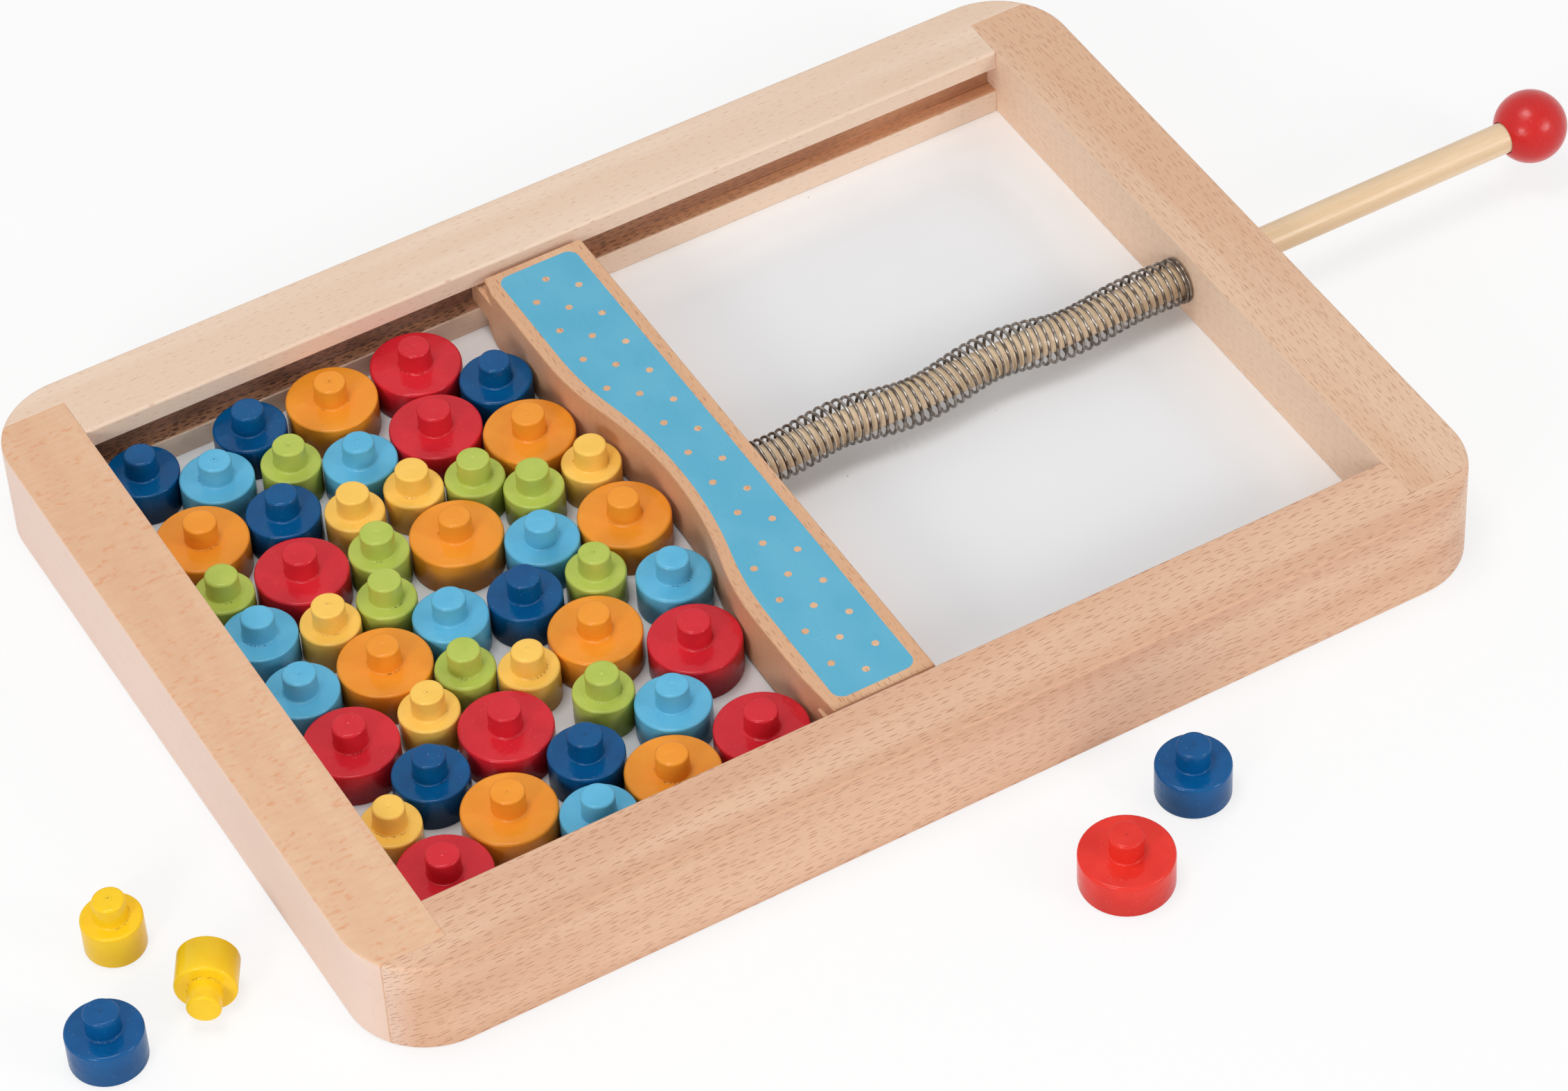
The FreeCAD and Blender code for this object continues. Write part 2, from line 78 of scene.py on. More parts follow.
def setCamera():
    seat = bpy.data.cameras.new("Camera")
    seat.sensor_fit = "HORIZONTAL"
    seat.sensor_width = camera["sensor"]
    seat.lens = camera["lens"]
    seat.clip_start, seat.clip_end = camera["clip"]
    viewer = bpy.data.objects.new("Camera", seat)
    bpy.context.collection.objects.link(viewer)
    turns = [
        Matrix.Rotation(math.radians(camera["azimuth"]), 4, "Z"),
        Matrix.Rotation(math.radians(90 - camera["elevation"]), 4, "X"),
        Matrix.Rotation(math.radians(camera["roll"]), 4, "Z"),
    ]
    viewer.matrix_world = Matrix.Translation(camera["place"]) @ turns[0] @ turns[1] @ turns[2]
    bpy.context.scene.camera = viewer


# A colour as it reads on a screen, from 0 to 255, turned into Blender's own
def colour(red, green, blue):
    mixed = Color((red / 255, green / 255, blue / 255)).from_srgb_to_scene_linear()
    return (*mixed, 1)


# Each material is a tree of nodes that reads the object's own coordinates
def startMaterial(name, settings):
    material = bpy.data.materials.new(name)
    material.use_nodes = True
    tree = material.node_tree
    shader = tree.nodes["Principled BSDF"]
    for socket, amount in settings.items():
        shader.inputs[socket].default_value = amount
    return material, tree, shader


def addNode(tree, kind, inputs, **settings):
    added = tree.nodes.new("ShaderNode" + kind)
    for setting, amount in settings.items():
        setattr(added, setting, amount)
    for socket, source in inputs.items():
        if isinstance(source, bpy.types.NodeSocket):
            tree.links.new(source, added.inputs[socket])
        else:
            added.inputs[socket].default_value = source
    return added


def calculate(tree, operation, first, second=0.0):
    return addNode(tree, "Math", {0: first, 1: second}, operation=operation).outputs[0]


def times(tree, first, second):
    return calculate(tree, "MULTIPLY", first, second)


# Spread a value's span over 0 to 1, or over the levels given, with soft ends
def spread(tree, source, low, high, toLow=0.0, toHigh=1.0):
    inputs = {"Value": source, "From Min": low, "From Max": high, "To Min": toLow, "To Max": toHigh}
    return addNode(tree, "MapRange", inputs, interpolation_type="SMOOTHSTEP").outputs["Result"]


def mixColours(tree, share, under, over):
    mixer = addNode(tree, "Mix", {0: share, 6: under, 7: over}, data_type="RGBA")
    return mixer.outputs[2]


# Coordinates in which one unit is so many millimetres along an axis and across it
def stretch(tree, source, axis, alongSize, acrossSize, shift=(0, 0, 0)):
    scale = [1 / (acrossSize * metre)] * 3
    scale[axis] = 1 / (alongSize * metre)
    mapping = addNode(tree, "Mapping", {"Vector": source, "Location": shift, "Scale": scale})
    return mapping.outputs["Vector"]


def evenly(tree, source, size):
    return stretch(tree, source, 0, size, size)


def noise(tree, source, detail, roughness=0.5):
    inputs = {"Vector": source, "Scale": 1.0, "Detail": detail, "Roughness": roughness}
    return addNode(tree, "TexNoise", inputs)


def blotches(tree, source, size, detail=1.0, roughness=0.5):
    return noise(tree, evenly(tree, source, size), detail, roughness).outputs[0]


def cells(tree, source, scatter=1.0):
    return addNode(tree, "TexVoronoi", {"Vector": source, "Scale": 1.0, "Randomness": scatter})


def addBump(tree, shader, height, depth, under=None):
    inputs = {"Strength": 1.0, "Distance": depth * metre, "Height": height}
    if under:
        inputs["Normal"] = under
    normal = addNode(tree, "Bump", inputs).outputs["Normal"]
    tree.links.new(normal, shader.inputs["Normal"])
    return normal


# What all the woods share: patterns sized along the grain and across it, their edges and their shares
figure = {
    "wander": (90, 40),
    "wanderReach": 5,
    "bandLength": 300,
    "bandEdge": (0.36, 0.62),
    "clouds": (60, 26),
    "cloudEdge": (0.45, 0.75),
    "cloudShare": 0.2,
    "streaks": (34, 0.9),
    "streakEdge": (0.45, 0.75),
    "fibres": (7, 0.24),
    "fibreEdge": (0.4, 0.75),
    "fibreShare": 0.2,
    "fibreDepth": 0.025,
    "ripples": (2, 9),
    "rippleEdge": (0.35, 0.65),
    "rippleShare": 0.26,
    "curls": (1.6, 3.4),
    "curlEdge": (0.5, 0.72),
    "patches": (9, 6),
    "patchEdge": (0.38, 0.6),
    "fleckScatter": 0.75,
    "fleckEdge": (1.05, 0.6),
    "fineSize": 0.6,
    "fineShare": 0.45,
    "sideTurn": (0.5, 0.95),
    "sideLightingShare": 0.8,
}


# Short dark dashes along the grain, one to a cell: thin sheets, askew so that top and side both cut them
def fleckLayer(tree, source, axis, flecks, scale, pick, shift):
    length, width, apart, across = [size * scale for size in flecks]
    placed = stretch(tree, source, axis, apart, across, shift)
    nearest = cells(tree, placed, figure["fleckScatter"])
    offset = addNode(tree, "VectorMath", {0: placed, 1: nearest.outputs["Position"]}, operation="SUBTRACT")
    reach = [2 * across / width, 2 * across / width, 0]
    reach[axis] = 2 * apart / length
    sized = addNode(tree, "VectorMath", {0: offset.outputs[0], 1: reach}, operation="MULTIPLY").outputs[0]
    away = addNode(tree, "VectorMath", {0: sized}, operation="LENGTH").outputs["Value"]
    shape = spread(tree, away, *figure["fleckEdge"])
    return times(tree, shape, spread(tree, nearest.outputs["Color"], *pick))


# Wood with its grain along an axis: slow bands, fine fibres and dark flecks, and ripples across the grain
def makeWood(name, wood):
    material, tree, shader = startMaterial(name, {"Specular IOR Level": wood["shine"]})
    axis = wood["axis"]
    shift = wood["shift"]
    coordinates = addNode(tree, "TexCoord", {})
    spot = coordinates.outputs["Object"]
    wander = noise(tree, stretch(tree, spot, axis, *figure["wander"], shift), 1.5).outputs["Color"]
    centred = addNode(tree, "VectorMath", {0: wander, 1: (0.5, 0.5, 0.5)}, operation="SUBTRACT").outputs[0]
    reach = figure["wanderReach"] * metre
    leaning = addNode(tree, "VectorMath", {0: centred, "Scale": reach}, operation="SCALE").outputs[0]
    grain = addNode(tree, "VectorMath", {0: spot, 1: leaning}, operation="ADD").outputs[0]
    turn = {"Vector": grain, "Angle": math.radians(wood["askew"])}
    askew = addNode(tree, "VectorRotate", turn, rotation_type=("X_AXIS", "Y_AXIS")[axis]).outputs[0]

    def pattern(source, sizes, detail, roughness=0.5):
        return noise(tree, stretch(tree, source, axis, *sizes, shift), detail, roughness).outputs[0]

    bands = pattern(grain, (figure["bandLength"], wood["bandWidth"]), 1.5)
    clouds = pattern(spot, figure["clouds"], 2.0)
    streaks = pattern(grain, figure["streaks"], 2.0, 0.6)
    fibres = pattern(grain, figure["fibres"], 1.0)
    flecks = fleckLayer(tree, askew, axis, wood["flecks"], 1, wood["fleckPick"], shift)
    fine = fleckLayer(tree, askew, axis, wood["flecks"], figure["fineSize"], wood["finePick"], shift)

    tone = mixColours(tree, spread(tree, bands, *figure["bandEdge"]), wood["pale"], wood["warm"])
    clouded = spread(tree, clouds, *figure["cloudEdge"], 0.0, figure["cloudShare"])
    tone = mixColours(tree, clouded, tone, wood["dark"])
    if "curl" in wood:
        ripples = pattern(spot, figure["ripples"], 1.5)
        rippled = spread(tree, ripples, *figure["rippleEdge"], 0.0, figure["rippleShare"])
        tone = mixColours(tree, rippled, tone, wood["dark"])
        curls = pattern(spot, figure["curls"], 2.0)
        patches = pattern(spot, figure["patches"], 1.0)
        somewhere = spread(tree, patches, *figure["patchEdge"], 0.0, wood["curl"])
        curled = times(tree, spread(tree, curls, *figure["curlEdge"]), somewhere)
        tone = mixColours(tree, curled, tone, wood["blush"])
    lined = times(tree, spread(tree, streaks, *figure["streakEdge"]), wood["streak"])
    tone = mixColours(tree, lined, tone, wood["dark"])
    fibred = spread(tree, fibres, *figure["fibreEdge"], 0.0, figure["fibreShare"])
    tone = mixColours(tree, fibred, tone, wood["dark"])
    flecked = times(tree, flecks, wood["fleck"])
    # Painted light and shade: faces that turn along the side axis take their own tone, paler on the rails
    # as painted light and darker on the bar as painted shade
    if "sideLightingTone" in wood:
        facing = addNode(tree, "SeparateXYZ", {0: coordinates.outputs["Normal"]}).outputs[wood["sideAxis"]]
        turned = calculate(tree, "ABSOLUTE", facing)
        sideways = spread(tree, turned, *figure["sideTurn"], 0.0, figure["sideLightingShare"])
        tone = mixColours(tree, sideways, tone, wood["sideLightingTone"])
        fewer = spread(tree, turned, *figure["sideTurn"], 1.0, wood["sideFleck"])
        flecked = times(tree, flecked, fewer)
    tone = mixColours(tree, times(tree, fine, figure["fineShare"]), tone, wood["fleckTone"])
    tone = mixColours(tree, flecked, tone, wood["fleckTone"])
    # Inside the grooves: raw routed wood, and painted shade that darkens it towards the left and on the
    # back wall
    if "grooved" in wood:
        tone = mixColours(tree, insideGroove(tree, spot), tone, rawWoodAndShade(tree, grain, askew, shift))
    # Painted light: the rod turns paler along the span where it runs inside the coil, standing in for light
    # that the wires shade off
    if "paintedLight" in wood:
        place = addNode(tree, "SeparateXYZ", {0: spot})
        start, end = [(innerX + step) * metre for step in wood["paintedLightSpan"]]
        paintedLight = spread(tree, place.outputs[0], start, end, 0.0, wood["paintedLightShare"])
        tone = mixColours(tree, paintedLight, tone, wood["paintedLight"])
    tree.links.new(tone, shader.inputs["Base Color"])

    gloss = calculate(tree, "ADD", spread(tree, streaks, 0.3, 0.7, -0.05, 0.05), wood["roughness"])
    gloss = calculate(tree, "ADD", gloss, times(tree, flecked, 0.3))
    tree.links.new(gloss, shader.inputs["Roughness"])
    dents = calculate(tree, "SUBTRACT", fibres, flecked)
    addBump(tree, shader, dents, figure["fibreDepth"])
    return material


# How far a point lies inside the groove: 0 at its mouth, rising within a millimetre
def insideGroove(tree, spot):
    place = addNode(tree, "SeparateXYZ", {0: spot})
    inward = calculate(tree, "ABSOLUTE", place.outputs[1])
    floor, roof, depth = [tray[size] * metre for size in ("grooveFloor", "grooveTop", "grooveDepth")]
    mouth = innerY * metre
    near = 0.3 * metre
    inside = spread(tree, inward, mouth, mouth + metre, 0.0, 0.9)
    for within in (
        calculate(tree, "LESS_THAN", inward, mouth + depth + near),
        calculate(tree, "GREATER_THAN", place.outputs[2], floor - near),
        calculate(tree, "LESS_THAN", place.outputs[2], roof + near),
    ):
        inside = times(tree, inside, within)
    return inside


# Inside of a groove: raw routed wood and painted shade, tones from left to right, spans along the rail and
# into the back wall; the darker left end and darker back wall are painted shade
grooveWoodAndShade = {
    "floor": (colour(196, 142, 106), colour(226, 168, 124)),
    "wall": (colour(124, 80, 60), colour(182, 124, 88)),
    "tornTone": colour(112, 68, 48),
    "fleckTone": colour(66, 36, 26),
    "flecks": (2.8, 0.5, 4, 1.1),
    "fleckPick": (-0.3, 0.4),
    "torn": (2.2, 0.8),
    "shadeFadeSpan": (-100, 170),
    "rougher": (140, -80),
    "wallSkin": (1.2, 0.2),
}


# Wood that a cutter has left rough and a little darker, with painted shade that darkens it further, most of
# all on the groove's back wall and towards the left
def rawWoodAndShade(tree, grain, askew, shift):
    place = addNode(tree, "SeparateXYZ", {0: grain})
    along = spread(tree, place.outputs[0], *[x * metre for x in grooveWoodAndShade["shadeFadeSpan"]])
    inward = calculate(tree, "ABSOLUTE", place.outputs[1])
    wall = (innerY + tray["grooveDepth"]) * metre
    onWall = spread(tree, inward, *[wall - depth * metre for depth in grooveWoodAndShade["wallSkin"]])
    rough = spread(tree, place.outputs[0], *[x * metre for x in grooveWoodAndShade["rougher"]], 0.2, 1.0)
    flecks = fleckLayer(tree, askew, 0, grooveWoodAndShade["flecks"], 1, grooveWoodAndShade["fleckPick"], shift)
    torn = noise(tree, stretch(tree, grain, 0, *grooveWoodAndShade["torn"], shift), 2.0, 0.7).outputs[0]
    floorTone = mixColours(tree, along, *grooveWoodAndShade["floor"])
    wallTone = mixColours(tree, along, *grooveWoodAndShade["wall"])
    tone = mixColours(tree, onWall, floorTone, wallTone)
    ragged = times(tree, spread(tree, torn, 0.4, 0.7, 0.0, 0.45), rough)
    tone = mixColours(tree, ragged, tone, grooveWoodAndShade["tornTone"])
    return mixColours(tree, times(tree, flecks, rough), tone, grooveWoodAndShade["fleckTone"])


# One beech, cut into rails that each have their own tone
beech = {
    "axis": 0,
    "shift": (0, 0, 0),
    "bandWidth": 15,
    "pale": colour(230, 191, 161),
    "warm": colour(218, 173, 143),
    "blush": colour(220, 146, 102),
    "dark": colour(210, 163, 133),
    "fleckTone": colour(162, 102, 74),
    "streak": 0.28,
    "fleck": 0.7,
    "flecks": (4.0, 0.26, 6.3, 1.5),
    "fleckPick": (-0.6, 0.6),
    "finePick": (0.2, 0.9),
    "roughness": 0.46,
    "shine": 0.25,
    "askew": -45,
    "sideFleck": 1.0,
}
# Each side tone below is painted light on a rail's side faces, and on the bar painted shade on its side
# face
railWoods = {
    "rail_front": {
        "shift": (3.1, 0.4, 7.7),
        "grooved": True,
        "sideAxis": 0,
        "sideLightingTone": colour(234, 207, 190),
    },
    "rail_back": {
        "shift": (11.3, 5.2, 1.9),
        "grooved": True,
        "askew": 45,
        "pale": colour(238, 215, 194),
        "warm": colour(232, 204, 180),
        "dark": colour(226, 191, 164),
        "fleckTone": colour(194, 146, 118),
        "fleck": 0.6,
        "flecks": (2.6, 0.22, 6, 1.7),
        "fleckPick": (0.0, 0.9),
        "sideAxis": 1,
        "sideLightingTone": colour(238, 212, 190),
    },
    "rail_left": {
        "axis": 1,
        "askew": 45,
        "shift": (6.4, 2.2, 9.1),
        "pale": colour(230, 191, 157),
        "warm": colour(225, 182, 148),
        "dark": colour(216, 168, 134),
        "curl": 0.62,
        "streak": 0.08,
        "fleck": 0.25,
        "fleckPick": (0.9, 1.0),
        "finePick": (0.9, 1.0),
        "sideAxis": 0,
        "sideLightingTone": colour(237, 213, 201),
    },
    "rail_right": {
        "axis": 1,
        "shift": (1.7, 8.8, 4.3),
        "pale": colour(230, 195, 166),
        "warm": colour(222, 180, 148),
        "fleck": 0.5,
        "sideAxis": 0,
        "sideLightingTone": colour(240, 210, 184),
        "sideFleck": 0.5,
    },
    "slider_bar": {
        "axis": 1,
        "askew": 45,
        "shift": (9.9, 3.3, 2.6),
        "pale": colour(227, 184, 147),
        "warm": colour(217, 169, 131),
        "fleckTone": colour(140, 86, 58),
        "fleck": 0.6,
        "flecks": (3.4, 0.28, 6, 1.5),
        "fleckPick": (0.0, 0.9),
        "sideAxis": 0,
        "sideLightingTone": colour(207, 159, 123),
        "sideFleck": 0.3,
    },
}


board = {
    "easing": 0.3,
    "roughness": 0.36,
    "shine": 0.35,
    "cornerBlend": 16,
    "wallReflectionFade": (13, 27),
    "clouds": 60,
    "skin": 1.4,
    "skinDepth": 0.012,
    "specks": 17,
    "speckEdge": (0.024, 0.010),
    "bright": (colour(247, 248, 249), colour(243, 244, 245)),
    "beyondWallReflection": colour(236, 237, 239),
    "speckTone": colour(120, 112, 106),
}


# White coated board: brighter beside the walls, a painted reflection of the walls, a slight skin, and here
# and there a dark speck
def makeWhiteCoat():
    settings = {"Roughness": board["roughness"], "Specular IOR Level": board["shine"]}
    material, tree, shader = startMaterial("White coat", settings)
    spot = addNode(tree, "TexCoord", {}).outputs["Object"]
    place = addNode(tree, "SeparateXYZ", {0: spot})
    fromShort = calculate(tree, "SUBTRACT", innerX * metre, place.outputs[0])
    fromLong = calculate(tree, "SUBTRACT", innerY * metre, calculate(tree, "ABSOLUTE", place.outputs[1]))
    either = {0: fromShort, 1: fromLong, 2: board["cornerBlend"] * metre}
    fromWalls = addNode(tree, "Math", either, operation="SMOOTH_MIN").outputs[0]
    # Painted reflection: the board is paler within a band beside the walls and darker beyond it
    beyondWallReflection = spread(tree, fromWalls, *[gap * metre for gap in board["wallReflectionFade"]])
    clouds = blotches(tree, spot, board["clouds"], 3.0, 0.6)
    skin = blotches(tree, spot, board["skin"])
    specks = cells(tree, evenly(tree, spot, board["specks"])).outputs["Distance"]
    tone = mixColours(tree, spread(tree, clouds, 0.3, 0.7), *board["bright"])
    tone = mixColours(tree, beyondWallReflection, tone, board["beyondWallReflection"])
    speck = spread(tree, specks, *board["speckEdge"], 0.0, 0.6)
    tone = mixColours(tree, speck, tone, board["speckTone"])
    tree.links.new(tone, shader.inputs["Base Color"])
    addBump(tree, shader, skin, board["skinDepth"])
    return material


inkLook = {
    "shine": 0.3,
    "pores": (5, 0.5),
    "clouds": (24, 16),
    "grains": 0.35,
    "grainDepth": 0.02,
    "specks": 6,
    "speckEdge": (0.04, 0.02),
    "tones": (colour(101, 179, 207), colour(91, 173, 203)),
    "grainTone": colour(72, 160, 196),
    "poreTone": colour(70, 146, 180),
    "speckTone": colour(44, 96, 128),
    "roughness": (0.46, 0.6),
}


# Flat screen print, faintly mottled, with the wood's pores just showing
def makePrintInk():
    material, tree, shader = startMaterial("Sky print", {"Specular IOR Level": inkLook["shine"]})
    spot = addNode(tree, "TexCoord", {}).outputs["Object"]
    shift = railWoods["slider_bar"]["shift"]
    pores = noise(tree, stretch(tree, spot, 1, *inkLook["pores"], shift), 1.0).outputs[0]
    clouds = noise(tree, stretch(tree, spot, 1, *inkLook["clouds"]), 2.0).outputs[0]
    grains = blotches(tree, spot, inkLook["grains"], 2.0)
    specks = cells(tree, evenly(tree, spot, inkLook["specks"])).outputs["Distance"]
    tone = mixColours(tree, spread(tree, clouds, 0.3, 0.7), *inkLook["tones"])
    tone = mixColours(tree, spread(tree, grains, 0.35, 0.7, 0.0, 0.25), tone, inkLook["grainTone"])
    tone = mixColours(tree, spread(tree, pores, 0.62, 0.8, 0.0, 0.2), tone, inkLook["poreTone"])
    speck = spread(tree, specks, *inkLook["speckEdge"], 0.0, 0.5)
    tone = mixColours(tree, speck, tone, inkLook["speckTone"])
    tree.links.new(tone, shader.inputs["Base Color"])
    tree.links.new(spread(tree, pores, 0.3, 0.8, *inkLook["roughness"]), shader.inputs["Roughness"])
    addBump(tree, shader, grains, inkLook["grainDepth"])
    return material


# The film of paint: sizes of its patterns and depths of its bumps, where pits and pin marks sit, where the
# painted shade low on the side ends, and the painted shade ringing the pin mark
film = {
    "shine": 0.03,
    "roughness": (0.3, 0.4),
    "clouds": 9,
    "waves": 3,
    "waveDepth": 0.16,
    "skin": 0.7,
    "skinDepth": 0.012,
    "dust": 1.1,
    "dustEdge": (0.13, 0.05),
    "dustShare": 0.3,
    "raised": 0.03,
    "crumbs": 0.55,
    "feet": 8,
    "footOut": 0.3,
    "footUp": 0.1,
    "footEdge": (0.5, 0.1),
    "tops": 14,
    "underTop": 0.5,
    "pin": (0.4, 0.2),
    "ring": 1.1,
    "ringEdge": (0.35, 0.1),
    "craterShadeShare": 0.14,
    "darkShare": 0.7,
    "shadeEnd": 2,
}


# Thick gloss paint on turned wood; onPeg is each point's place on its own peg, in millimetres
def makePaint(name, paint):
    settings = {
        "Specular IOR Level": film["shine"],
        "Coat Weight": paint["coat"],
        "Coat Roughness": paint["blur"],
    }
    material, tree, shader = startMaterial(name, settings)
    spot = addNode(tree, "TexCoord", {}).outputs["Object"]
    clouds = blotches(tree, spot, film["clouds"], 2.0)
    waves = blotches(tree, spot, film["waves"], 1.5)
    skin = blotches(tree, spot, film["skin"])
    dust = cells(tree, evenly(tree, spot, film["dust"]))
    dustShape = spread(tree, dust.outputs["Distance"], *film["dustEdge"])
    grit = times(tree, dustShape, spread(tree, dust.outputs["Color"], 0.5, 0.8))

    onPeg = addNode(tree, "Attribute", {}, attribute_name="onPeg").outputs["Vector"]
    split = addNode(tree, "SeparateXYZ", {0: onPeg})
    flat = addNode(tree, "CombineXYZ", {0: split.outputs[0], 1: split.outputs[1]}).outputs[0]
    radius = addNode(tree, "VectorMath", {0: flat}, operation="LENGTH").outputs["Value"]
    footRadius = peg["knobRadius"] + film["footOut"]
    footHeight = peg["bodyHeight"] + film["footUp"]
    offFoot = calculate(tree, "ABSOLUTE", calculate(tree, "SUBTRACT", radius, footRadius))
    level = calculate(tree, "ABSOLUTE", calculate(tree, "SUBTRACT", split.outputs[2], footHeight))
    atFoot = spread(tree, calculate(tree, "ADD", offFoot, level), *film["footEdge"])
    crumbs = spread(tree, blotches(tree, spot, film["crumbs"], 2.0), 0.5, 0.6)
    someFeet = spread(tree, blotches(tree, spot, film["feet"]), 0.52, 0.64)
    pits = times(tree, times(tree, atFoot, crumbs), someFeet)
    nearTop = peg["bodyHeight"] + peg["knobHeight"] - film["underTop"]
    onTop = calculate(tree, "GREATER_THAN", split.outputs[2], nearTop)
    someTops = spread(tree, blotches(tree, spot, film["tops"]), 0.55, 0.6)
    # A soft dark ring round the pin mark is painted shade of the crater about the nib; the darker centre is
    # the pin mark itself
    offRing = calculate(tree, "ABSOLUTE", calculate(tree, "SUBTRACT", radius, film["ring"]))
    ring = spread(tree, offRing, *film["ringEdge"], 0.0, film["craterShadeShare"])
    pin = calculate(tree, "MAXIMUM", spread(tree, radius, *film["pin"]), ring)
    pin = times(tree, pin, times(tree, onTop, someTops))
    dark = calculate(tree, "MAXIMUM", pits, pin)

    tone = mixColours(tree, spread(tree, clouds, 0.3, 0.75, 0.0, 0.6), paint["tone"], paint["deep"])
    # Painted shade: the side darkens towards the bottom of the peg
    lowDown = spread(tree, split.outputs[2], peg["bodyHeight"], film["shadeEnd"], 0.0, paint["shade"])
    tone = mixColours(tree, lowDown, tone, paint["pitAndShade"])
    tone = mixColours(tree, times(tree, grit, film["dustShare"]), tone, paint["dust"])
    tone = mixColours(tree, times(tree, dark, film["darkShare"]), tone, paint["pitAndShade"])
    tree.links.new(tone, shader.inputs["Base Color"])
    tree.links.new(spread(tree, clouds, 0.3, 0.7, *film["roughness"]), shader.inputs["Roughness"])
    low = addBump(tree, shader, waves, film["waveDepth"])
    fine = addBump(tree, shader, skin, film["skinDepth"], low)
    raised = calculate(tree, "SUBTRACT", grit, times(tree, dark, 3.0))
    over = addBump(tree, shader, raised, film["raised"], fine)
    tree.links.new(over, shader.inputs["Coat Normal"])
    return material


# Two tones that mingle, a dark one for pits and for painted shade at the foot of the side, and the share of
# that painted shade at the foot
def paintOf(tone, deep, pitAndShade, shade=0.65, coat=0.42, blur=0.14):
    dust = colour(250, 244, 236)
    tones = {"tone": colour(*tone), "deep": colour(*deep), "pitAndShade": colour(*pitAndShade), "dust": dust}
    return {**tones, "shade": shade, "coat": coat, "blur": blur}


paints = {
    "red": paintOf((214, 40, 52), (200, 30, 44), (60, 6, 14)),
    "orange": paintOf((242, 154, 48), (236, 142, 36), (92, 42, 6)),
    "navy": paintOf((2, 84, 138), (1, 68, 120), (1, 12, 30), shade=0.75),
    "sky": paintOf((100, 184, 220), (82, 172, 210), (16, 66, 104)),
    "green": paintOf((184, 198, 90), (168, 188, 76), (60, 76, 16)),
    "yellow": paintOf((250, 202, 96), (244, 190, 80), (120, 72, 14)),
    "looseRed": paintOf((230, 54, 42), (216, 40, 32), (50, 6, 8), shade=0.2),
    "looseNavy": paintOf((4, 86, 144), (2, 70, 126), (4, 24, 50), shade=0.2),
    "looseYellow": paintOf((248, 204, 32), (242, 190, 20), (120, 84, 10), shade=0.2),
}
ballPaint = paintOf((203, 10, 6), (194, 5, 3), (50, 2, 2), shade=0.0, coat=0.92, blur=0.3)


steel = {
    "patches": 2.5,
    "marks": (0.2, 0.9),
    "markDepth": 0.008,
    "tones": (colour(100, 91, 84), colour(156, 148, 140)),
    "roughness": (0.13, 0.3),
}


# Drawn spring wire: dark oxide with bright rubbed patches and fine marks
def makeWireSteel():
    material, tree, shader = startMaterial("Spring wire", {"Metallic": 1.0})
    spot = addNode(tree, "TexCoord", {}).outputs["Object"]
    patches = blotches(tree, spot, steel["patches"], 2.0)
    marks = noise(tree, stretch(tree, spot, 0, *steel["marks"]), 2.0).outputs[0]
    tone = mixColours(tree, spread(tree, patches, 0.35, 0.65), *steel["tones"])
    tree.links.new(tone, shader.inputs["Base Color"])
    tree.links.new(spread(tree, marks, 0.3, 0.7, *steel["roughness"]), shader.inputs["Roughness"])
    addBump(tree, shader, marks, steel["markDepth"])
    return material


def vertsOf(parts):
    return [part for part in parts if isinstance(part, bmesh.types.BMVert)]


# Plan outline from a start by straight runs to (x, y) and arcs about (x, y) by so many degrees
def drawPlan(bm, start, moves, level):
    first = bm.verts.new((*start, level))
    pen = first
    for x, y, *turn in moves:
        if turn:
            swept = bmesh.ops.spin(bm, geom=[pen], cent=(x, y, level), axis=(0, 0, 1),
                                   angle=math.radians(turn[0]), steps=turn[1])
            pen = vertsOf(swept["geom_last"])[0]
        else:
            pen = bmesh.ops.extrude_vert_indiv(bm, verts=[pen])["verts"][0]
            pen.co = (x, y, level)
    bm.edges.new((pen, first))
    return bm.edges[:]


# Lift a filled outline straight up into a block
def raiseBlock(bm, faces, height):
    made = bmesh.ops.extrude_face_region(bm, geom=faces)["geom"]
    bmesh.ops.translate(bm, verts=vertsOf(made), vec=(0, 0, height))
    bmesh.ops.recalc_face_normals(bm, faces=bm.faces)


def drawBlock(bm, start, moves, level, height):
    plan = drawPlan(bm, start, moves, level)
    raiseBlock(bm, bmesh.ops.contextual_create(bm, geom=plan)["faces"], height)


def roundEdges(bm, edges, size, segments):
    bmesh.ops.bevel(bm, geom=edges, offset=size, offset_type="OFFSET", segments=segments, profile=0.5,
                    affect="EDGES", material=-1)


def placeMesh(bm, name):
    mesh = bpy.data.meshes.new(name)
    bm.to_mesh(mesh)
    bm.free()
    placed = bpy.data.objects.new(name, mesh)
    bpy.context.collection.objects.link(placed)
    return placed


# Make the mesh an object in metres, with soft shading that big faces keep flat
def finishPiece(bm, name, material, body, replaced, easing=0.0):
    bmesh.ops.remove_doubles(bm, verts=bm.verts, dist=weld)
    bmesh.ops.recalc_face_normals(bm, faces=bm.faces)
    bmesh.ops.scale(bm, verts=bm.verts, vec=(metre, metre, metre))
    piece = placeMesh(bm, name)
    piece.data.materials.append(material)
    if easing:
        ease = piece.modifiers.new("Eased edges", "BEVEL")
        ease.width = easing * metre
        ease.segments = easeSteps
        ease.limit_method = "ANGLE"
        ease.angle_limit = sharpAngle
    piece.data.shade_smooth()
    piece.data.set_sharp_from_angle(angle=sharpAngle)
    steady = piece.modifiers.new("Flat faces", "WEIGHTED_NORMAL")
    steady.keep_sharp = True
    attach(piece, body)
    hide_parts(*replaced)
    return piece


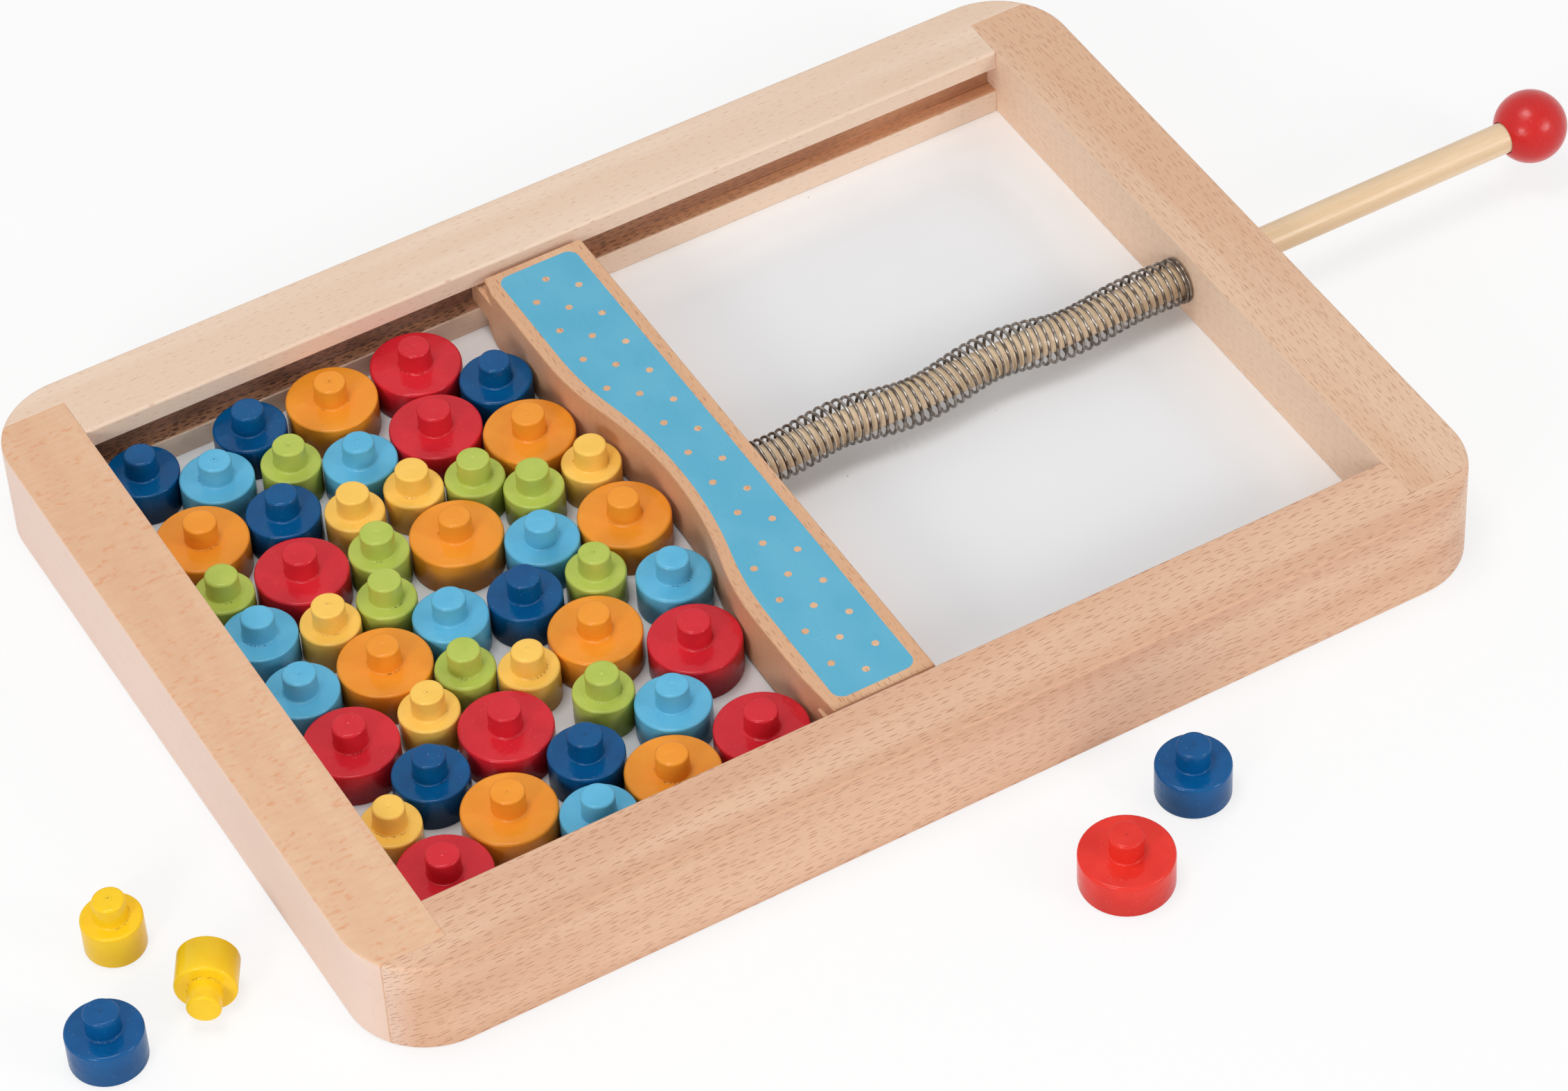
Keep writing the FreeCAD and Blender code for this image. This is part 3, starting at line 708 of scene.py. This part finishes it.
# Cut boxes and round holes out of a piece for good, or join boxes to it
def shapePiece(piece, cutters, operation="DIFFERENCE"):
    for number, cutter in enumerate(cutters):
        bmesh.ops.scale(cutter, verts=cutter.verts, vec=(metre, metre, metre))
        bmesh.ops.recalc_face_normals(cutter, faces=cutter.faces)
        cut = piece.modifiers.new("Cut", "BOOLEAN")
        cut.object = placeMesh(cutter, "Cutter")
        cut.solver = "EXACT"
        cut.operation = operation
        piece.modifiers.move(len(piece.modifiers) - 1, number)
    others = [step for step in piece.modifiers if step.type != "BOOLEAN"]
    for step in others:
        step.show_viewport = False
    carved = piece.evaluated_get(bpy.context.evaluated_depsgraph_get())
    oldMesh = piece.data
    piece.data = bpy.data.meshes.new_from_object(carved)
    piece.data.name = oldMesh.name
    piece.data.set_sharp_from_angle(angle=sharpAngle)
    for step in others:
        step.show_viewport = True
    for cut in [step for step in piece.modifiers if step.type == "BOOLEAN"]:
        tool = cut.object
        piece.modifiers.remove(cut)
        bpy.data.objects.remove(tool)


def makeBlock(low, high):
    bm = bmesh.new()
    middle = [(start + end) / 2 for start, end in zip(low, high)]
    size = [end - start for start, end in zip(low, high)]
    bmesh.ops.create_cube(bm, size=1, matrix=Matrix.Translation(middle) @ Matrix.Diagonal((*size, 1)))
    return bm


# A place on the rod's axis, with Z turned to run along the rod
def onRod(x):
    return Matrix.Translation((x, 0, tray["rodHeight"])) @ Matrix.Rotation(math.pi / 2, 4, "Y")


def holeCutter(start, end, radius):
    cutter = bmesh.new()
    bmesh.ops.create_cone(cutter, cap_ends=True, segments=roundSides, radius1=radius, radius2=radius,
                          depth=end - start, matrix=onRod((start + end) / 2))
    return cutter


tray = {
    "length": 400,
    "width": 290,
    "height": 36.4,
    "rail": 27.5,
    "corner": 27.5,
    "cheek": 11,
    "cheekSteps": 20,
    "cornerSteps": 14,
    "rounding": 1.1,
    "underEasing": 0.7,
    "jointEasing": 0.25,
    "grooveFloor": 18.5,
    "grooveTop": 29,
    "grooveDepth": 6,
    "rebate": 5,
    "rebateHeight": 9.5,
    "rebatePlay": 0.2,
    "rodHole": 5.7,
    "rodHeight": 22.8,
}
innerX = tray["length"] / 2 - tray["rail"]  # the walls, as far as this from the tray's middle
innerY = tray["width"] / 2 - tray["rail"]


# Round a rail's top edges and ease its lower ones, where the tests on an edge's middle say so
def roundRail(bm, isRounded, isEased):
    roundings = []
    easings = []
    for edge in bm.edges:
        middle = (edge.verts[0].co + edge.verts[1].co) / 2
        isLevel = abs(edge.verts[0].co.z - edge.verts[1].co.z) < weld
        if isLevel and middle.z > tray["height"] - weld and isRounded(middle):
            roundings.append(edge)
        if isLevel and middle.z < weld and isEased(middle):
            easings.append(edge)
    roundEdges(bm, roundings, tray["rounding"], cutSteps)
    roundEdges(bm, [edge for edge in easings if edge.is_valid], tray["underEasing"], easeSteps)


# Rails are drawn on one side of the tray, and the others are turned half round
def finishRail(bm, name, node, turned):
    if turned:
        bmesh.ops.rotate(bm, verts=bm.verts, cent=(0, 0, 0), matrix=Matrix.Rotation(math.pi, 3, "Z"))
    wood = makeWood("Beech " + name, {**beech, **railWoods[node]})
    return finishPiece(bm, name, wood, "frame", [node], tray["jointEasing"])


# Long rail, drawn as the back one: cheeks with rounded corners cover the short rails' ends
def makeLongRail(name, node, turned):
    outerY = tray["width"] / 2
    jointY = outerY - tray["cheek"]
    sweep = math.degrees(math.acos((jointY - innerY) / tray["corner"]))
    jointX = innerX + tray["corner"] * math.sin(math.radians(sweep))
    bm = bmesh.new()
    moves = [
        (innerX, innerY),
        (innerX, jointY),
        (jointX, jointY),
        (innerX, innerY, sweep, tray["cheekSteps"]),
        (-innerX, outerY),
        (-innerX, innerY, sweep, tray["cheekSteps"]),
        (-innerX, jointY),
    ]
    drawBlock(bm, (-innerX, innerY), moves, 0, tray["height"])

    def isOuter(middle):
        return middle.y > jointY + weld

    def isRounded(middle):
        return isOuter(middle) or middle.y < innerY + weld

    roundRail(bm, isRounded, isOuter)
    piece = finishRail(bm, name, node, turned)
    side = -1 if turned else 1
    reach = innerX + overshoot
    start = side * (innerY - overshoot)
    grooveY = sorted((start, side * (innerY + tray["grooveDepth"])))
    rebateY = sorted((start, side * (innerY + tray["rebate"])))
    shapePiece(piece, [
        makeBlock((-reach, grooveY[0], tray["grooveFloor"]), (reach, grooveY[1], tray["grooveTop"])),
        makeBlock((-reach, rebateY[0], -overshoot), (reach, rebateY[1], tray["rebateHeight"])),
    ])


# Short rail, drawn as the right one, between the long rails' cheeks
def makeShortRail(name, node, turned):
    outerX = tray["length"] / 2
    jointY = tray["width"] / 2 - tray["cheek"]
    sweep = math.degrees(math.asin((jointY - innerY) / tray["corner"]))
    jointX = innerX + tray["corner"] * math.cos(math.radians(sweep))
    bm = bmesh.new()
    moves = [
        (jointX, -jointY),
        (innerX, -innerY, sweep, tray["cornerSteps"]),
        (outerX, innerY),
        (innerX, innerY, sweep, tray["cornerSteps"]),
        (innerX, jointY),
    ]
    drawBlock(bm, (innerX, -jointY), moves, 0, tray["height"])

    def isOuter(middle):
        return middle.x > innerX + weld and abs(middle.y) < jointY - weld

    roundRail(bm, isOuter, isOuter)
    piece = finishRail(bm, name, node, turned)
    side = -1 if turned else 1
    rebateX = sorted((side * (innerX - overshoot), side * (innerX + tray["rebate"])))
    reach = innerY + tray["rebate"]
    cutters = [makeBlock((rebateX[0], -reach, -overshoot), (rebateX[1], reach, tray["rebateHeight"]))]
    if not turned:
        cutters.append(holeCutter(innerX - overshoot, outerX + overshoot, tray["rodHole"]))
    shapePiece(piece, cutters)


def makePanel():
    bm = makeBlock(*boardBox)
    roundEdges(bm, bm.edges[:], board["easing"], easeSteps)
    finishPiece(bm, "whitePanel", makeWhiteCoat(), "frame", ["base_panel"])


# The bar: a block with a waisted left side and a tongue at each end that runs in the groove
bar = {
    "width": 38,
    "halfLength": 115,
    "waistDepth": 9.25,
    "waistSpan": 69,
    "waistRadius": 150,
    "waistSteps": (8, 22, 8),
    "taper": 1.6,
    "taperLength": {"front": 19, "back": 8},
    "tongueRoot": 8,
    "tongueFloor": 18.7,
    "tongueTop": 27.7,
    "tongueLength": 7.5,
    "easing": 0.8,
    "jointEasing": 0.3,
    "socket": 5.45,
}
ink = {
    "left": 33.3,
    "right": 4.5,
    "halfLength": 111.8,
    "corner": 4,
    "cornerSteps": 8,
    "waistDepth": 8.1,
    "waistRadius": 170,
    "thickness": 0.05,
    "dot": 1.25,
    "dotSides": 18,
    "dotPitch": 16.05,
    "dotColumns": [(11.2, 95.3, 13), (19.2, 103.5, 14), (27.1, 95.3, 4), (27.1, -49.2, 4)],
}


# The waisted side from (left, span) down to (left, -span), as three arcs that run into one another
def waistMoves(left, span, depth, radius):
    bothRadii = (span ** 2 + depth ** 2) / (2 * depth)
    lean = math.degrees(math.asin(span / bothRadii))
    shoulder = bothRadii - radius
    steps = bar["waistSteps"]
    return [
        (left + shoulder, span, lean, steps[0]),
        (left + depth - radius, 0, -2 * lean, steps[1]),
        (left + shoulder, -span, lean, steps[2]),
    ]


def makeBar():
    floor, top = barBox[0].z, barBox[1].z
    left = -bar["width"]
    half = bar["halfLength"]
    bm = bmesh.new()
    moves = [
        (0, half),
        (left + bar["taper"], half),
        (left, half - bar["taperLength"]["back"]),
        (left, bar["waistSpan"]),
        *waistMoves(left, bar["waistSpan"], bar["waistDepth"], bar["waistRadius"]),
        (left, bar["taperLength"]["front"] - half),
        (left + bar["taper"], -half),
    ]
    drawBlock(bm, (0, -half), moves, floor, top - floor)
    rims = [edge for edge in bm.edges if min(vert.co.z for vert in edge.verts) > top - weld]
    roundEdges(bm, rims, bar["easing"], cutSteps)
    bmesh.ops.translate(bm, verts=bm.verts, vec=(barSide, 0, 0))
    wood = makeWood("Beech slider", {**beech, **railWoods["slider_bar"]})
    piece = finishPiece(bm, "sliderBar", wood, "bar", ["slider_bar"], bar["jointEasing"])
    root = half - bar["tongueRoot"]
    tip = half + bar["tongueLength"]
    low, high = bar["tongueFloor"], bar["tongueTop"]
    tongues = [
        makeBlock((barSide + left, root, low), (barSide, tip, high)),
        makeBlock((barSide + left, -tip, low), (barSide, -root, high)),
    ]
    shapePiece(piece, tongues, "UNION")
    shapePiece(piece, [holeCutter(barSide - rod["socket"], barSide + overshoot, bar["socket"])])


# The blue print is a film on the bar's top, with round gaps where the wood shows
def makePrint():
    top = barBox[1].z
    left = -ink["left"]
    right = -ink["right"]
    half = ink["halfLength"]
    corner = ink["corner"]
    steps = ink["cornerSteps"]
    span = bar["waistSpan"]
    level = top - ink["thickness"] / 2
    bm = bmesh.new()
    moves = [
        (right, half - corner),
        (right - corner, half - corner, 90, steps),
        (left + corner, half),
        (left + corner, half - corner, 90, steps),
        (left, span),
        *waistMoves(left, span, ink["waistDepth"], ink["waistRadius"]),
        (left, corner - half),
        (left + corner, corner - half, 90, steps),
        (right - corner, -half),
        (right - corner, corner - half, 90, steps),
    ]
    drawPlan(bm, (right, 0), moves, level)
    for inward, firstY, count in ink["dotColumns"]:
        for number in range(count):
            place = Matrix.Translation((-inward, firstY - number * ink["dotPitch"], level))
            bmesh.ops.create_circle(bm, radius=ink["dot"], segments=ink["dotSides"], matrix=place)
    filled = bmesh.ops.triangle_fill(bm, use_beauty=True, edges=bm.edges[:], normal=(0, 0, 1))["geom"]
    raiseBlock(bm, [part for part in filled if isinstance(part, bmesh.types.BMFace)], ink["thickness"])
    bmesh.ops.translate(bm, verts=bm.verts, vec=(barSide, 0, 0))
    finishPiece(bm, "barPrint", makePrintInk(), "bar", [])


rod = {"radius": 5.4, "length": 323, "socket": 15, "easing": 0.6}
birch = {
    "axis": 0,
    "shift": (4.4, 7.1, 0.8),
    "bandWidth": 6,
    "pale": colour(238, 211, 176),
    "warm": colour(229, 198, 160),
    "dark": colour(208, 174, 132),
    "fleckTone": colour(196, 158, 116),
    "streak": 0.3,
    "fleck": 0.3,
    "flecks": (1.6, 0.2, 4, 1.1),
    "fleckPick": (0.5, 1.0),
    "finePick": (0.5, 1.0),
    "roughness": 0.3,
    "shine": 0.55,
    "askew": -45,
    # Painted light on the rod inside the tray, where the spring's wires shade it
    "paintedLight": colour(252, 224, 187),
    "paintedLightSpan": (20, -40),
    "paintedLightShare": 0.75,
}
ball = {"radius": 12.6, "bore": 5.75, "boreDepth": 3, "around": 64, "rings": 40}


def makeRod():
    bm = bmesh.new()
    bmesh.ops.create_circle(bm, cap_ends=True, segments=roundSides, radius=rod["radius"],
                            matrix=onRod(barSide - rod["socket"]))
    made = bmesh.ops.extrude_face_region(bm, geom=bm.faces[:])["geom"]
    bmesh.ops.translate(bm, verts=vertsOf(made), vec=(rod["length"], 0, 0))
    rims = [edge for edge in bm.edges if abs(edge.verts[0].co.x - edge.verts[1].co.x) < weld]
    roundEdges(bm, rims, rod["easing"], easeSteps)
    finishPiece(bm, "pullRod", makeWood("Birch", birch), "bar", ["pull_rod"])


# The ball is cut open where the rod goes in, and its rim there runs inwards as a short blind bore
def makeBall():
    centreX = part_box("pull_ball")[1].x / metre - ball["radius"]
    mouthX = centreX - math.sqrt(ball["radius"] ** 2 - ball["bore"] ** 2)
    bm = bmesh.new()
    bmesh.ops.create_uvsphere(bm, u_segments=ball["around"], v_segments=ball["rings"],
                              radius=ball["radius"], matrix=onRod(centreX))
    parts = bm.verts[:] + bm.edges[:] + bm.faces[:]
    bmesh.ops.bisect_plane(bm, geom=parts, plane_co=(mouthX, 0, 0), plane_no=(-1, 0, 0), clear_outer=True)
    rim = [edge for edge in bm.edges if edge.is_boundary]
    inner = bmesh.ops.extrude_edge_only(bm, edges=rim)["geom"]
    bmesh.ops.translate(bm, verts=vertsOf(inner), vec=(ball["boreDepth"], 0, 0))
    bmesh.ops.contextual_create(bm, geom=[edge for edge in bm.edges if edge.is_boundary])
    finishPiece(bm, "pullBall", makePaint("Ball red", ballPaint), "bar", ["pull_ball"])


# Compression spring: wire turned about the rod, its end turns closed, its open turns swaying and leaning
coil = {
    "wire": 1.1,
    "outside": 16.4,
    "turns": 57,
    "closedTurns": 1.5,
    "closedPitch": 1.3,
    "stepsPerTurn": 30,
    "sides": 10,
    "endTurn": 225,
    "sway": 1.18,
    "swayWave": 62,
    "swayStart": 14,
    "swayFade": (32, 50),
    "tilt": 0.13,
    "pulled": 70,
}


def makeSpring():
    wall = boardBox[1].x - tray["rebate"] + tray["rebatePlay"]
    length = wall - barSide
    wireRadius = coil["wire"] / 2
    coilRadius = coil["outside"] / 2 - wireRadius
    height = tray["rodHeight"]
    openTurns = coil["turns"] - 2 * coil["closedTurns"]
    closedLength = coil["closedTurns"] * coil["closedPitch"]
    openPitch = (length - coil["wire"] - 2 * closedLength) / openTurns
    bm = bmesh.new()
    centre = Matrix.Translation((barSide + wireRadius, 0, height))
    turned = Matrix.Rotation(math.radians(coil["endTurn"]), 4, "X")
    start = centre @ turned @ Matrix.Translation((0, 0, coilRadius))
    bmesh.ops.create_circle(bm, cap_ends=False, segments=coil["sides"], radius=wireRadius,
                            matrix=start @ Matrix.Rotation(math.pi / 2, 4, "X"))
    section = bm.verts[:] + bm.edges[:]
    closedRun = (coil["closedTurns"], coil["closedPitch"])
    for turns, pitch in (closedRun, (openTurns, openPitch), closedRun):
        steps = int(turns * coil["stepsPerTurn"])
        swept = bmesh.ops.spin(bm, geom=section, cent=(0, 0, height), axis=(1, 0, 0),
                               dvec=(pitch / coil["stepsPerTurn"], 0, 0),
                               angle=turns * 2 * math.pi, steps=steps)
        section = swept["geom_last"]
    bmesh.ops.holes_fill(bm, edges=[edge for edge in bm.edges if edge.is_boundary], sides=coil["sides"])
    for vert in bm.verts:
        along = vert.co.x - barSide
        fade = max(0, min(1, along / coil["swayFade"][0], (length - along) / coil["swayFade"][1]))
        phase = 2 * math.pi * (along - coil["swayStart"]) / coil["swayWave"]
        sway = coil["sway"] * fade * math.sin(phase)
        tilt = coil["tilt"] * fade * math.cos(phase)
        aside = vert.co.y + vert.co.z - height
        vert.co += Vector((-tilt * aside, sway, sway))
    spring = finishPiece(bm, "rodSpring", makeWireSteel(), "frame", ["spring"])
    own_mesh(spring)


# Pegs: turned bodies with a knob, dipped in thick paint that rounds the rims and gathers at the knob's foot
# Pairs are the ends of a span that each peg draws from
peg = {
    "large": 15.3,
    "middle": 12.25,
    "small": 9.9,
    "bodyHeight": 13,
    "knobHeight": 8,
    "knobRadius": 5.5,
    "underEasing": 0.5,
    "rim": (0.7, 1.1),
    "foot": (0.5, 0.9),
    "knobRim": (0.7, 1.1),
    "knobTaper": (0.94, 1.02),
    "nib": (-0.5, 0.45),
    "nibRadius": (0.6, 1.1),
    "nibRim": 0.3,
    "steps": 48,
    "unevenness": 0.09,
    "thirdWave": 0.6,
    "sideways": 0.8,
    "seed": 7,
}


# One peg standing at the origin, its radius in millimetres, its small differences drawn from luck
def turnPeg(radius, luck):
    body, knob = peg["bodyHeight"], peg["knobRadius"]
    top = body + peg["knobHeight"]
    knobTop = knob * luck.uniform(*peg["knobTaper"])
    nib = luck.uniform(*peg["nib"])
    nibRadius = luck.uniform(*peg["nibRadius"])
    bm = bmesh.new()
    outline = [(0, 0), (radius, 0), (radius, body), (knob, body), (knobTop, top), (nibRadius, top)]
    outline.append((0, top + nib))
    corners = []
    for across, up in outline:
        corners.append(bm.verts.new((across, 0, up)))
    for start, end in zip(corners, corners[1:]):
        bm.edges.new((start, end))
    roundings = [
        (corners[1], peg["underEasing"], easeSteps),
        (corners[2], luck.uniform(*peg["rim"]), cutSteps),
        (corners[3], luck.uniform(*peg["foot"]), 3),
        (corners[4], luck.uniform(*peg["knobRim"]), cutSteps),
        (corners[5], peg["nibRim"], easeSteps),
    ]
    for corner, size, segments in roundings:
        bmesh.ops.bevel(bm, geom=[corner], offset=size, offset_type="OFFSET", segments=segments,
                        profile=0.5, affect="VERTICES", material=-1)
    bmesh.ops.spin(bm, geom=bm.verts[:] + bm.edges[:], cent=(0, 0, 0), axis=(0, 0, 1),
                   angle=2 * math.pi, steps=peg["steps"], use_merge=True)
    bmesh.ops.remove_doubles(bm, verts=bm.verts, dist=weld)
    bmesh.ops.recalc_face_normals(bm, faces=bm.faces)
    phase = [luck.uniform(0, 2 * math.pi) for wave in range(3)]
    onPeg = bm.verts.layers.float_vector.new("onPeg")
    for vert in bm.verts:
        vert[onPeg] = vert.co
        around = math.atan2(vert.co.y, vert.co.x)
        uneven = math.sin(2 * around + phase[0]) + peg["thirdWave"] * math.sin(3 * around + phase[1])
        share = peg["unevenness"] * min(1, vert.co.xy.length / knob)
        if vert.co.z > body / 2:
            vert.co.z += share * math.sin(around + phase[2])
        vert.co.x -= share * uneven * math.cos(around) * peg["sideways"]
        vert.co.y -= share * uneven * math.sin(around) * peg["sideways"]
    bmesh.ops.rotate(bm, verts=bm.verts, cent=(0, 0, 0), matrix=Matrix.Rotation(phase[0], 3, "Z"))
    return bm


def makeTrayPegs():
    luck = random.Random(peg["seed"])
    finishes = {name: makePaint("Paint " + name, paint) for name, paint in paints.items()}
    nodes = sorted(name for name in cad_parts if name.startswith("peg_"))
    for node in nodes:
        shade = node.split("_")[1]
        low, high = [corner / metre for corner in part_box(node)]
        bm = turnPeg((high.x - low.x) / 2, luck)
        bmesh.ops.translate(bm, verts=bm.verts, vec=((low.x + high.x) / 2, (low.y + high.y) / 2, low.z))
        name = node.replace("peg_", "paintedPeg_")
        finishPiece(bm, name, finishes[shade], "body_" + node, [node])
    for name, loose in loosePegs.items():
        bm = turnPeg(loose["radius"], luck)
        bmesh.ops.transform(bm, verts=bm.verts, matrix=loose["stand"])
        finishPiece(bm, name, finishes[loose["paint"]], loose["body"], [loose["node"]])
    print("Pegs are turned and painted:", len(nodes), "in the tray and", len(loosePegs), "beside it")


lyingTurn = Matrix.Rotation(math.radians(240), 4, "Z") @ Matrix.Rotation(math.radians(90), 4, "Y")
besideFront = {"body": "body_loose_front", "node": "loose_pegs_front"}
besideLeft = {"body": "body_loose_left", "node": "loose_pegs_left"}
loosePegs = {
    "loosePegRed": {"radius": peg["large"], "paint": "looseRed",
                    "stand": Matrix.Translation((27, -196, 0)), **besideFront},
    "loosePegNavy": {"radius": peg["middle"], "paint": "looseNavy",
                     "stand": Matrix.Translation((64, -176, 0)), **besideFront},
    "endPegNavy": {"radius": peg["middle"], "paint": "looseNavy",
                   "stand": Matrix.Translation((-269, -93, 0)), **besideLeft},
    "endPegYellow": {"radius": peg["small"], "paint": "looseYellow",
                     "stand": Matrix.Translation((-248, -54, 0)), **besideLeft},
    "lyingPegYellow": {"radius": peg["small"], "paint": "looseYellow",
                       "stand": Matrix.Translation((-229, -82, peg["small"])) @ lyingTurn, **besideLeft},
}

# Soft light: a pale surround, a lamp overhead and one at each side in front
studio = {
    "surround": 0.5,
    "white": (1, 1, 1, 1),
    "floor": (0.93, 0.93, 0.93, 1),
    "floorRoughness": 0.9,
    "floorSize": 6,
    "floorDrop": 0.0002,
    "floorLift": 0.75,
    "lamps": {
        "over": {"place": (-0.25, 0.04, 1.7), "size": 0.7, "power": 9},
        "left": {"place": (-1.55, -0.98, 0.8), "size": 0.6, "power": 11},
        "right": {"place": (0.94, -1.56, 0.82), "size": 0.6, "power": 8},
    },
}


# 1 where the camera looks, straight or by a reflection, and 0 for light that scatters
def sees(tree):
    path = addNode(tree, "LightPath", {})
    looked = calculate(tree, "MAXIMUM", path.outputs["Is Camera Ray"], path.outputs["Is Glossy Ray"])
    return calculate(tree, "MAXIMUM", looked, path.outputs["Is Transmission Ray"])


def setStudio():
    world = bpy.data.worlds.new("Studio")
    bpy.context.scene.world = world
    world.use_nodes = True
    tree = world.node_tree
    back = tree.nodes["Background"]
    back.inputs["Color"].default_value = studio["white"]
    tree.links.new(spread(tree, sees(tree), 0, 1, studio["surround"], 1.0), back.inputs["Strength"])

    bm = bmesh.new()
    dropped = Matrix.Translation((0, 0, -studio["floorDrop"]))
    bmesh.ops.create_grid(bm, x_segments=2, y_segments=2, size=studio["floorSize"] / 2, matrix=dropped)
    floor = placeMesh(bm, "floor")
    settings = {"Base Color": studio["floor"], "Roughness": studio["floorRoughness"]}
    material, tree, shader = startMaterial("Pale floor", settings)
    glow = addNode(tree, "Emission", {"Color": studio["white"], "Strength": 1.0}).outputs[0]
    lift = times(tree, sees(tree), studio["floorLift"])
    mixed = addNode(tree, "MixShader", {0: lift, 1: shader.outputs[0], 2: glow}).outputs[0]
    tree.links.new(mixed, tree.nodes["Material Output"].inputs["Surface"])
    floor.data.materials.append(material)

    for name, lamp in studio["lamps"].items():
        light = bpy.data.lights.new(name, "AREA")
        light.shape = "DISK"
        light.size = lamp["size"]
        light.energy = lamp["power"]
        hung = bpy.data.objects.new(name, light)
        hung.location = lamp["place"]
        hung.rotation_euler = (-Vector(lamp["place"])).to_track_quat("-Z", "Y").to_euler()
        bpy.context.collection.objects.link(hung)
    bpy.context.scene.view_settings.view_transform = "Standard"


setCamera()
setStudio()
print("Camera and studio are set")
makeLongRail("backRail", "rail_back", False)
makeLongRail("frontRail", "rail_front", True)
makeShortRail("rightRail", "rail_right", False)
makeShortRail("leftRail", "rail_left", True)
makePanel()
print("Frame and panel are made")
makeBar()
makePrint()
makeRod()
makeBall()
makeSpring()
print("Bar, rod, ball and spring are made")
makeTrayPegs()
